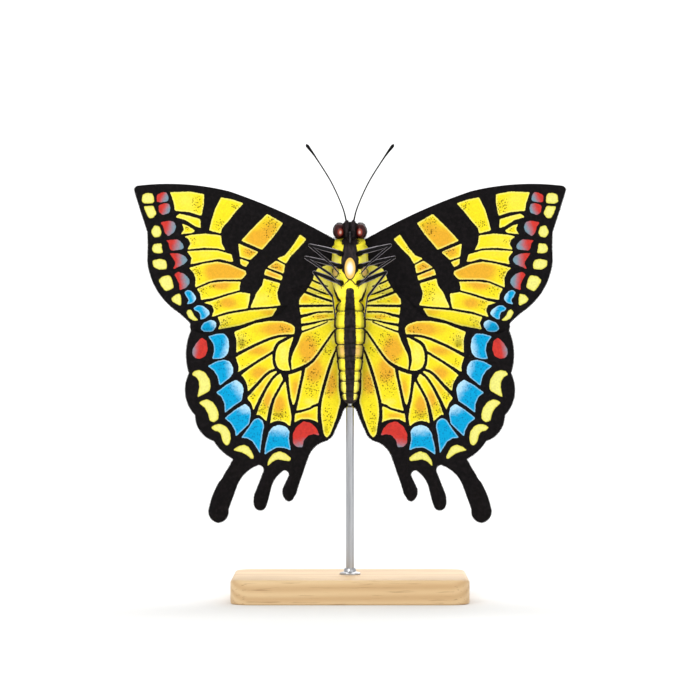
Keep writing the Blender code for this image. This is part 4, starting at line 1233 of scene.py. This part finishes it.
coat = {  # up: from, to; lift in radians; lie: outward, up
    "head": {
        "up": (15.0, 19.15), "tries": 10400, "length": 0.7, "width": 0.09, "lift": 0.5, "lie": (0.1, 0.55),
    },
    "collar": {
        "up": (13.2, 14.7), "tries": 8400, "length": 1.5, "width": 0.1, "lift": 0.45, "lie": (0.42, 1.0),
    },
    "thorax": {
        "up": (-0.2, 14.7), "tries": 32000, "length": 1.75, "width": 0.12, "lift": 0.32, "lie": (0.25, -1.0),
    },
    "abdomen": {
        "up": (-25.7, -0.4), "tries": 34000, "length": 0.55, "width": 0.11, "lift": 0.14, "lie": (0.1, -1.0),
    },
}
coatStyle = {
    "fullWidth": 4.3,  # a slimmer stretch of the body has fewer hairs
    "slimFrom": 3.5, "slimLeast": 0.45,  # and shorter ones
    "stray": 0.16, "lengths": (0.7, 1.25), "widths": (0.8, 1.3), "lifts": (0.5, 1.5),
    "plateGap": 0.12,  # the breast plate is bare
    "headLie": (-0.8, 0.4),  # forwards on the face, backwards behind it
    "breastWidth": 1.5, "breastThin": 0.4,  # the hair of the breast is thin, short and flat
    "breastFrom": 0.25, "breastGain": 1.6, "breastShort": 0.68, "breastFlat": 0.85,
    "collarGain": 1.4, "collarFlat": 0.8,
    "collarBand": (1.9, 4.2), "collarFront": 0.3,  # across, where the collar is yellow in front
}


def inEye(points):
    mirrored = np.column_stack([np.abs(points[:, 0]), points[:, 1], points[:, 2]])
    return (((mirrored - eye["centre"]) / eye["radii"]) ** 2).sum(axis=1) < 1


def makeBodyCoat(paint):
    rng = np.random.default_rng(7)
    style = coatStyle
    for part, hair in coat.items():
        tries = hair["tries"]
        angle = rng.uniform(0, math.tau, tries)
        up = rng.uniform(*hair["up"], tries)
        keep = rng.random(tries) < bodyProfile(up)[0] / style["fullWidth"]
        if part == "thorax":
            bare = style["breastThin"] * np.clip(style["breastWidth"] * np.cos(angle), 0, 1)
            keep &= rng.random(tries) > bare
        angle, up = angle[keep], up[keep]
        roots, normals = bodySkin(angle, up), bodyNormal(angle, up)
        fields = bodyFields(roots)
        chosen = (fields["plateEdge"] < -style["plateGap"]) & ~inEye(roots)
        roots, normals, up = roots[chosen], normals[chosen], up[chosen]
        fields = {key: value[chosen] for key, value in fields.items()}
        count = len(roots)
        outward, upward = hair["lie"]
        lies = np.column_stack([np.sign(roots[:, 0]) * outward, np.zeros(count), np.full(count, upward)])
        if part == "head":
            lies[:, 1] = np.where(roots[:, 1] < 0, *style["headLie"])
        if part == "collar":
            across, (inner, outer) = np.abs(roots[:, 0]), style["collarBand"]
            band = np.minimum(across - inner, outer - across)
            fields["yellowEdge"] = np.where(roots[:, 1] < style["collarFront"], band, darkHair["yellowEdge"])
        lies += rng.normal(0, style["stray"], (count, 3))
        slim = np.clip(bodyProfile(up)[0] / style["slimFrom"], style["slimLeast"], 1)
        lengths = hair["length"] * slim * rng.uniform(*style["lengths"], count)
        widths = hair["width"] * rng.uniform(*style["widths"], count)
        lifts = hair["lift"] * rng.uniform(*style["lifts"], count)
        if part == "thorax":
            breast = np.clip(style["breastFrom"] - style["breastGain"] * normals[:, 1], 0, 1)
            lengths *= 1 - style["breastShort"] * breast
            lifts *= 1 - style["breastFlat"] * breast
        if part == "collar":
            lifts *= 1 - style["collarFlat"] * np.clip(-style["collarGain"] * normals[:, 1], 0, 1)
        for sideName, side in sides.items():
            own = roots[:, 0] * side > 0
            makeLocks(f"{part}_coat_{sideName}", roots[own], normals[own], lies[own], lengths[own],
                      widths[own], lifts[own], bodySpot(roots[own]),
                      {key: value[own] for key, value in fields.items()}, paint)


def aroundTube(path, row, angle, beside):  # the way along a tube and the way out of it
    along = unit(np.gradient(path, axis=0))[row]
    first = unit(np.cross(along, beside))
    second = np.cross(along, first)
    return along, first * np.cos(angle)[:, None] + second * np.sin(angle)[:, None]


def tubeSpot(turn, share):  # a place on the map of the hair round a tube or an eye
    return np.column_stack([0.1 + 0.8 * turn / math.tau, 0.1 + 0.8 * share])


def makePalps(skinPaint, coatPaint):
    rng = np.random.default_rng(11)
    for sideName, side in sides.items():
        points, radii = palpPath(side)
        piece = makeTube(f"palp_{sideName}_skin", points, radii, palp["around"], skinPaint)
        for key, value in darkHair.items():
            setAttribute(piece.data, key, np.full(len(piece.data.vertices), value))
        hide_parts(f"palp_{sideName}")
        count = palp["hairs"]
        row = rng.integers(2, len(points) - 2, count)
        angle = rng.uniform(0, math.tau, count)
        along, normals = aroundTube(points, row, angle, (1.0, 0.0, 0.0))
        shift = rng.uniform(-palp["shift"], palp["shift"], count)
        roots = points[row] + normals * radii[row][:, None] + along * shift[:, None]
        fields = {key: np.full(count, value) for key, value in darkHair.items()}
        lengths = palp["length"] * rng.uniform(*lock["lengths"], count)
        lifts = palp["lift"] * rng.uniform(*lock["lifts"], count)
        makeLocks(f"palp_{sideName}_coat", roots, normals, along, lengths, np.full(count, palp["width"]),
                  lifts, tubeSpot(angle, row / len(points)), fields, coatPaint)


eye = {
    "centre": (2.62, -0.5, 16.88), "radii": (1.45, 1.7, 1.93), "around": 72, "rows": 48,
    "glint": (-0.2, -1, -0.2),  # the painted glow and pale highlight are on this side
}


def eyePaint():
    paint = Paint("eye", {"Roughness": 0.4, "Specular IOR Level": 0.12, "Coat Weight": 0.22,
                          "Coat Roughness": 0.05})
    # painted light and shade: dark away from a fixed direction, a red glow and a pale highlight towards it
    paintedLightFacing = paint.attribute("paintedLightFacing")
    paintedGlow = paint.mix(paint.step(paintedLightFacing, -0.9, 0.8), tint(9, 2, 3), tint(62, 11, 10))
    paintedGlow = paint.mix(paint.step(paintedLightFacing, 0.82, 0.975) * 0.9, paintedGlow, tint(206, 84, 66))
    paintedGlow = paint.mix(paint.step(paintedLightFacing, 0.96, 0.992) * 0.9, paintedGlow, tint(255, 214, 196))
    cloud = paint.noise(0.9)
    colour = paint.mix(paint.step(cloud, 0.4, 0.8) * 0.3, paintedGlow, tint(30, 6, 8))
    facets = paint.cells(0.11)
    paint.colour(paint.mix(paint.step(facets, 0.35, 0.6) * 0.35, colour, tint(14, 3, 4)))
    paint.bump(facets * -1, 0.02, 0.35)
    return paint


def makeEyes(paint):
    for sideName, side in sides.items():
        bm = bmesh.new()
        bmesh.ops.create_uvsphere(bm, u_segments=eye["around"], v_segments=eye["rows"], radius=1)
        centre, radii = Vector(eye["centre"]), Vector(eye["radii"])
        glint = Vector(eye["glint"]).normalized()
        paintedLightFacing = [v.co.normalized().dot(glint) for v in bm.verts]
        for v in bm.verts:
            spot = centre + Vector(a * b for a, b in zip(v.co, radii))
            v.co = place(side * spot.x, spot.y, spot.z)
        bm.normal_update()
        bmesh.ops.recalc_face_normals(bm, faces=bm.faces)
        mesh = toMesh(f"eye_{sideName}_ball", bm)
        setAttribute(mesh, "paintedLightFacing", paintedLightFacing)
        piece = addPiece(f"eye_{sideName}_ball", mesh, paint)
        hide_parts(f"eye_{sideName}")


eyeFringe = {
    "count": 700, "behind": (0.35, 0.75), "length": 0.8, "width": 0.12, "lift": 0.35,
    "forward": -0.9, "stray": 0.12, "lengths": (0.75, 1.2),
}


def makeEyeFringes(paint):  # short black hair round the back of each eye
    rng = np.random.default_rng(13)
    centre, radii = np.array(eye["centre"]), np.array(eye["radii"])
    for sideName, side in sides.items():
        count = eyeFringe["count"]
        angle = rng.uniform(0, math.tau, count)
        behind = rng.uniform(*eyeFringe["behind"], count)
        ring = np.sqrt(1 - behind ** 2)
        ball = np.column_stack([np.cos(angle) * ring, behind, np.sin(angle) * ring])
        roots = (centre + ball * radii) * (side, 1, 1)
        normals = unit(ball / radii) * (side, 1, 1)
        lies = np.column_stack([np.cos(angle) * side, np.full(count, eyeFringe["forward"]), np.sin(angle)])
        lies += rng.normal(0, eyeFringe["stray"], lies.shape)
        fields = {key: np.full(count, value) for key, value in darkHair.items()}
        lengths = eyeFringe["length"] * rng.uniform(*eyeFringe["lengths"], count)
        lifts = eyeFringe["lift"] * rng.uniform(*lock["lifts"], count)
        makeLocks(f"eye_{sideName}_fringe", roots, normals, lies, lengths,
                  np.full(count, eyeFringe["width"]), lifts, tubeSpot(angle, behind), fields, paint)


antenna = {  # paths run from the root to the tip as (across, depth, up)
    "path": [(0.95, 0.2, 19.0), (0.98, 0.22, 19.6), (1.9, 0.8, 23.0), (4.6, 1.8, 29.0), (8.3, 2.9, 35.0),
             (10.6, 3.4, 38.2), (10.85, 3.45, 38.55)],
    "radii": [0.3, 0.22, 0.17, 0.17, 0.2, 0.42, 0.3],
    "segment": 0.5, "ringDepth": 0.014, "roundEnd": 0.5, "steps": 36, "around": 14,
    "socket": [(0.93, 0.18, 18.7), (0.95, 0.2, 19.0), (0.97, 0.21, 19.35), (0.98, 0.22, 19.5)],
    "socketRadii": [0, 0.46, 0.4, 0], "socketAround": 20,
}
tongue = {
    "centre": (-3.9, 15.0),  # depth and up of the coil's middle
    "outer": 1.45, "pitch": 0.85, "turns": 1.5, "steps": 260, "around": 16,
    "radius": 0.24, "taper": 0.35, "rings": 26, "ringDepth": 0.02, "paleAndHighlight": 0.35,
}
legs = {
    "front": [(1.7, -2.5, 11.0), (3.2, -4.5, 11.6), (10.2, -3.5, 13.4), (5.2, -5.5, 9.2), (2.7, -6.0, 6.3)],
    "middle": [(1.8, -2.4, 7.8), (3.4, -4.4, 8.4), (11.2, -3.4, 10.4), (4.7, -5.6, 6.0), (2.1, -6.1, 3.1)],
    "hind": [(1.6, -2.3, 3.8), (3.0, -4.3, 4.3), (9.1, -3.3, 6.8), (4.3, -4.9, 0.6), (3.6, -4.9, -4.6)],
}
legShape = {  # radius along each part of a leg, from its start to its end
    "coxa": [(0.0, 0.72), (0.5, 0.7), (1.0, 0.58)],
    "femur": [(0.0, 0.54), (0.12, 0.63), (0.45, 0.6), (0.85, 0.43), (1.0, 0.37)],
    "tibia": [(0.0, 0.33), (0.1, 0.33), (0.7, 0.32), (0.93, 0.35), (1.0, 0.31)],
    "tarsus": [(0.0, 0.2), (0.3, 0.22), (0.36, 0.16), (0.4, 0.2), (0.52, 0.21), (0.56, 0.15), (0.6, 0.19),
               (0.7, 0.2), (0.74, 0.14), (0.78, 0.18), (0.86, 0.18), (0.89, 0.13), (0.93, 0.17),
               (1.0, 0.16)],
    "knee": 0.42, "step": 0.11, "around": 22, "tip": 0.8,
    # the painted highlights along a leg, pale lines: how far they face forward, where they start, and the
    # fainter inner one
    "ridgeFront": -0.55, "ridgeFrom": 0.92, "ridgeSpan": 0.07, "inner": 0.8,
}
claw = {
    "path": [(0, 0, 0), (0.35, 0.16, 0), (0.62, 0.3, 0), (0.8, 0.26, 0.14)],  # along, aside, back
    "radii": (0.1, 0.02), "steps": 6, "around": 10,
}
spine = {"count": 150, "femur": 0.42, "below": 0.34, "width": 0.075, "lift": 0.5}


def hornPaint():
    paint = Paint("horn", {"Roughness": 0.34, "Specular IOR Level": 0.12})
    worn = paint.noise(0.7, (1, 1, 0.6), detail=4.0)
    grain = paint.noise(0.16, detail=2.0)
    paleAndHighlight = paint.attribute("paleAndHighlight")
    black = paint.mix(paint.step(worn, 0.35, 0.75), tint(4, 3, 4), tint(14, 12, 14))
    # the pale grey is a painted highlight along the legs where they face forward, and the tongue's own paler
    # tone
    paint.colour(paint.mix(paint.step(paleAndHighlight + (worn - 0.5) * 0.4, 0.2, 0.9), black, tint(168, 162, 169)))
    paint.roughness(0.28 + 0.3 * worn)
    paint.bump(grain + worn, 0.03, 0.5)
    return paint


def paintedHighlightLines(mesh, path, fold):  # painted highlights: pale lines along the front of a limb, the stronger on its outer side
    spots = np.array([v.co for v in mesh.vertices]) / mm - (0, 0, hingeHeight)
    normals = np.array([v.normal for v in mesh.vertices])
    row = ((spots[:, None, :] - path[None]) ** 2).sum(axis=2).argmin(axis=1)
    beside = unit(np.cross(unit(np.gradient(path, axis=0)), (0.0, 1.0, 0.0)))
    outward = beside[:, 2] + 0.5 * beside[:, 0] * np.sign(path[:, 0])
    beside *= (np.sign(outward) * fold)[:, None]
    shade = np.zeros(len(spots))
    for side, strength in ((1, 1.0), (-1, legShape["inner"])):
        ridge = unit(side * beside + (0.0, legShape["ridgeFront"], 0.0))[row]
        towards = (normals * ridge).sum(axis=1)
        shade += strength * ramp(towards, legShape["ridgeFrom"], legShape["ridgeSpan"])
    return shade


def hornPiece(name, path, radii, around, paint, node=None, paleAndHighlight=0.0, fold=None):
    piece = makeTube(name, path, radii, around, paint)
    shade = np.full(len(piece.data.vertices), paleAndHighlight)
    if fold is not None:
        shade = paintedHighlightLines(piece.data, path, fold)
    setAttribute(piece.data, "paleAndHighlight", shade)
    if node:
        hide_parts(node)


def makeAntennae(paint):
    for sideName, side in sides.items():
        line = curve(np.column_stack([antenna["path"], antenna["radii"]]), antenna["steps"])
        length = np.concatenate([[0], np.cumsum(np.linalg.norm(np.diff(line[:, :3], axis=0), axis=1))])
        ringed = line[:, 3] + antenna["ringDepth"] * np.cos(length / antenna["segment"] * math.tau)
        ringed[0] = ringed[-1] = 0
        taper = ramp(length[-1] - length, 0, antenna["roundEnd"]) ** 0.5
        points = line[:, :3] * (side, 1, 1)
        node = f"antenna_{sideName}"
        hornPiece(f"{node}_ringed", points, ringed * taper, antenna["around"], paint, node)
        socket = np.array(antenna["socket"]) * (side, 1, 1)
        hornPiece(f"{node}_socket", socket, antenna["socketRadii"], antenna["socketAround"], paint)


def makeTongue(paint):
    depth, up = tongue["centre"]
    angle = np.linspace(0, math.tau * tongue["turns"], tongue["steps"])
    reach = tongue["outer"] - tongue["pitch"] * angle / math.tau
    path = np.column_stack([0 * angle, depth + reach * np.sin(angle), up + reach * np.cos(angle)])
    ringed = tongue["ringDepth"] * np.cos(angle * tongue["rings"])
    radii = tongue["radius"] * (1 - tongue["taper"] * angle / angle[-1]) + ringed
    radii[0] = radii[-1] = 0
    hornPiece("tongue_coil", path, radii, tongue["around"], paint, "tongue", paleAndHighlight=tongue["paleAndHighlight"])


def bentPath(joints, knee, step):  # straight runs with rounded folds, evenly stepped; and each part's share
    joints = np.array(joints, float)
    points, part, share = [], [], []
    for k, (a, b) in enumerate(zip(joints, joints[1:])):
        count = max(3, round(np.linalg.norm(b - a) / step))
        t = np.arange(count) / count
        points.append(a + (b - a) * t[:, None])
        part.append(np.full(count, k))
        share.append(t)
    points = np.vstack(points + [joints[-1:]])
    part = np.concatenate(part + [[len(joints) - 2]])
    share = np.concatenate(share + [[1.0]])
    for _ in range(round((knee / step) ** 2)):
        points[1:-1] = 0.5 * points[1:-1] + 0.25 * (points[:-2] + points[2:])
    return points, part, share


def makeLegs(paint):
    rng = np.random.default_rng(5)
    for pair, joints in legs.items():
        for sideName, side in sides.items():
            points, part, share = bentPath(joints, legShape["knee"], legShape["step"])
            radii = np.zeros(len(points))
            for k, name in enumerate(("coxa", "femur", "tibia", "tarsus")):
                radii[part == k] = np.interp(share[part == k], *zip(*legShape[name]))
            for _ in range(2):
                radii[1:-1] = 0.5 * radii[1:-1] + 0.25 * (radii[:-2] + radii[2:])
            radii[-2] *= legShape["tip"]
            radii[0] = radii[-1] = 0
            points = points * (side, 1, 1)
            node = f"leg_{pair}_{sideName}"
            fold = np.where(part < 2, 1, -1)  # the painted highlight stays on the outside of the knee
            hornPiece(f"{node}_limb", points, radii, legShape["around"], paint, node, fold=fold)
            makeClaws(node, points, paint)
            makeSpines(node, points, radii, part, rng, paint)


def makeClaws(node, points, paint):
    along = unit(points[-1] - points[-6])
    away = unit(np.cross(along, (0.0, 1.0, 0.0)))
    for k, side in enumerate((-1, 1)):
        path = curve([points[-3] + along * ahead + away * side * aside + (0, back, 0)
                      for ahead, aside, back in claw["path"]], claw["steps"])
        radii = np.linspace(*claw["radii"], len(path))
        radii[0] = radii[-1] = 0
        hornPiece(f"{node}_claw_{k}", path, radii, claw["around"], paint)


def makeSpines(node, points, radii, part, rng, paint):
    count = spine["count"]
    row = rng.choice(np.flatnonzero(part >= 1)[4:-6], count)  # none on the coxa and the claws
    angle = rng.uniform(0, math.tau, count)
    along, normals = aroundTube(points, row, angle, (0.3, 1.0, 0.2))
    roots = points[row] + normals * radii[row][:, None]
    lengths = np.where(part[row] == 1, spine["femur"], spine["below"]) * rng.uniform(*lock["lengths"], count)
    makeLocks(f"{node}_spines", roots, normals, along, lengths, np.full(count, spine["width"]),
              np.full(count, spine["lift"]), tubeSpot(angle, row / len(points)),
              {"paleAndHighlight": np.zeros(count)}, paint)


stand = {
    "corner": 5.0, "edge": 0.9, "foot": 0.5,  # how far the board's corners and rims are rounded
    "collar": 2.6, "collarHeight": 1.6, "sunk": 0.2, "pin": 0.9,  # the pin goes into the abdomen
    "heart": (0, -0.006, 0.03),  # where the rings of the wood start, in metres
}


def woodPaint():
    paint = Paint("maple", {"Roughness": 0.42, "Specular IOR Level": 0.4})
    warp = paint.noise(14.0, (0.25, 1, 1), detail=3.0)
    heart = paint.node("Mapping", sockets={
        "Vector": paint.here(), "Location": stand["heart"], "Scale": (0.1, 1, 1),
    })
    rings = paint.node("TexWave", {"wave_type": "RINGS", "rings_direction": "X"}, {
        "Vector": heart, "Scale": 150.0, "Distortion": 2.5, "Detail": 2.0, "Detail Scale": 0.8,
    }, out="Fac")
    pores = paint.noise(0.5, (0.06, 1, 1), detail=4.0)
    colour = paint.mix(warp, tint(232, 204, 160), tint(214, 178, 128))
    colour = paint.mix(rings * 0.45, colour, tint(190, 146, 96))
    colour = paint.mix(paint.step(pores, 0.56, 0.72) * 0.5, colour, tint(150, 108, 68))
    paint.colour(colour)
    paint.roughness(0.36 + 0.16 * pores)
    paint.bump(pores * -1 + rings * 0.3, 0.05, 0.4)
    return paint


def steelPaint():
    paint = Paint("steel", {"Metallic": 1.0, "Roughness": 0.3})
    brushed = paint.noise(0.4, (1, 1, 0.04), detail=5.0)
    paint.colour(paint.mix(brushed, tint(150, 152, 156), tint(206, 207, 210)))
    paint.roughness(0.2 + 0.25 * brushed)
    paint.bump(brushed, 0.01, 0.3)
    return paint


def makeStand():
    low, high = (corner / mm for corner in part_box("stand_base"))
    wood, steel = woodPaint(), steelPaint()
    bm = bmesh.new()
    bmesh.ops.create_cube(bm, size=1)
    for v in bm.verts:
        v.co = Vector((v.co[k] + 0.5) * (high[k] - low[k]) + low[k] for k in range(3))
    upright = [e for e in bm.edges if abs(e.verts[0].co.z - e.verts[1].co.z) > nearly]
    bmesh.ops.bevel(
        bm, geom=upright, offset=stand["corner"], segments=14, profile=0.5, affect="EDGES", material=-1,
    )
    for level, width in ((high.z, stand["edge"]), (low.z, stand["foot"])):
        rim = [e for e in bm.edges if all(abs(v.co.z - level) < nearly for v in e.verts)]
        bmesh.ops.bevel(bm, geom=rim, offset=width, segments=5, profile=0.5, affect="EDGES", material=-1)
    bmesh.ops.scale(bm, verts=bm.verts, vec=(mm, mm, mm))
    piece = addPiece("stand_base_board", toMesh("stand_base_board", bm), wood)
    piece.data.set_sharp_from_angle(angle=sharpFrom)
    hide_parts("stand_base")

    rodLow, rodHigh = (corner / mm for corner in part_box("stand_rod"))
    radius = (rodHigh.x - rodLow.x) / 2
    bottom, shoulder = rodLow.z - hingeHeight, rodHigh.z - hingeHeight
    top = shoulder + stand["pin"]
    turned("stand_rod_polished", [
        (0, bottom), (radius, bottom), (radius, shoulder - 0.5), (radius * 0.55, shoulder),
        (radius * 0.5, top), (0, top),
    ], steel, "stand_rod")
    foot = high.z - hingeHeight
    sole, crown = foot - stand["sunk"], foot + stand["collarHeight"]
    bore, reach = radius * 0.9, stand["collar"]
    turned("stand_collar", [
        (bore, sole), (reach, sole), (reach, foot + 0.35), (reach * 0.94, foot + 0.5),
        (radius * 1.55, foot + 0.75), (radius * 1.4, crown - 0.15), (radius * 1.28, crown),
        (bore, crown), (bore, sole),
    ], steel)


def turned(name, profile, paint, node=None):  # a profile of (radius, up), spun about the middle line
    bm = bmesh.new()
    line = [bm.verts.new(place(reach, 0, up)) for reach, up in profile]
    for a, b in zip(line, line[1:]):
        bm.edges.new((a, b))
    bmesh.ops.spin(
        bm, geom=bm.verts[:] + bm.edges[:], axis=(0, 0, 1), cent=(0, 0, 0), angle=math.tau, steps=48,
        use_merge=True, use_duplicate=False,
    )
    bmesh.ops.remove_doubles(bm, verts=bm.verts, dist=sameSpot)
    bm.normal_update()
    bmesh.ops.recalc_face_normals(bm, faces=bm.faces)
    piece = addPiece(name, toMesh(name, bm), paint)
    piece.data.set_sharp_from_angle(angle=sharpFrom)
    if node:
        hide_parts(node)


makeRoom()
makeLights()
makeCamera()
print("room ready")
wing = wingPaint()
wings = (
    ("forewing", forewingShape, forewingMarks, forewingDepth),
    ("hindwing", hindwingShape, hindwingMarks, hindwingDepth),
)
for name, corners, marks, depth in wings:
    makeWing(name, corners, marks, depth, wing)
print("wings ready")
skinPaint = bodyPaint("body skin", {"Specular IOR Level": 0.3})
coatPaint = bodyPaint("body coat", {"Specular IOR Level": 0.2})
makeBodySkin(skinPaint)
makeBodyCoat(coatPaint)
makePalps(skinPaint, coatPaint)
makeEyes(eyePaint())
makeEyeFringes(coatPaint)
print("body and head ready")
horn = hornPaint()
makeAntennae(horn)
makeTongue(horn)
makeLegs(horn)
print("feelers, tongue and legs ready")
for name, corners, marks, depth in wings:
    makeFringe(name, corners, marks, depth, wing)
    makeRootHair(name, corners, marks, depth, wing)
print("hair of the wings ready")
makeStand()
print("stand ready")
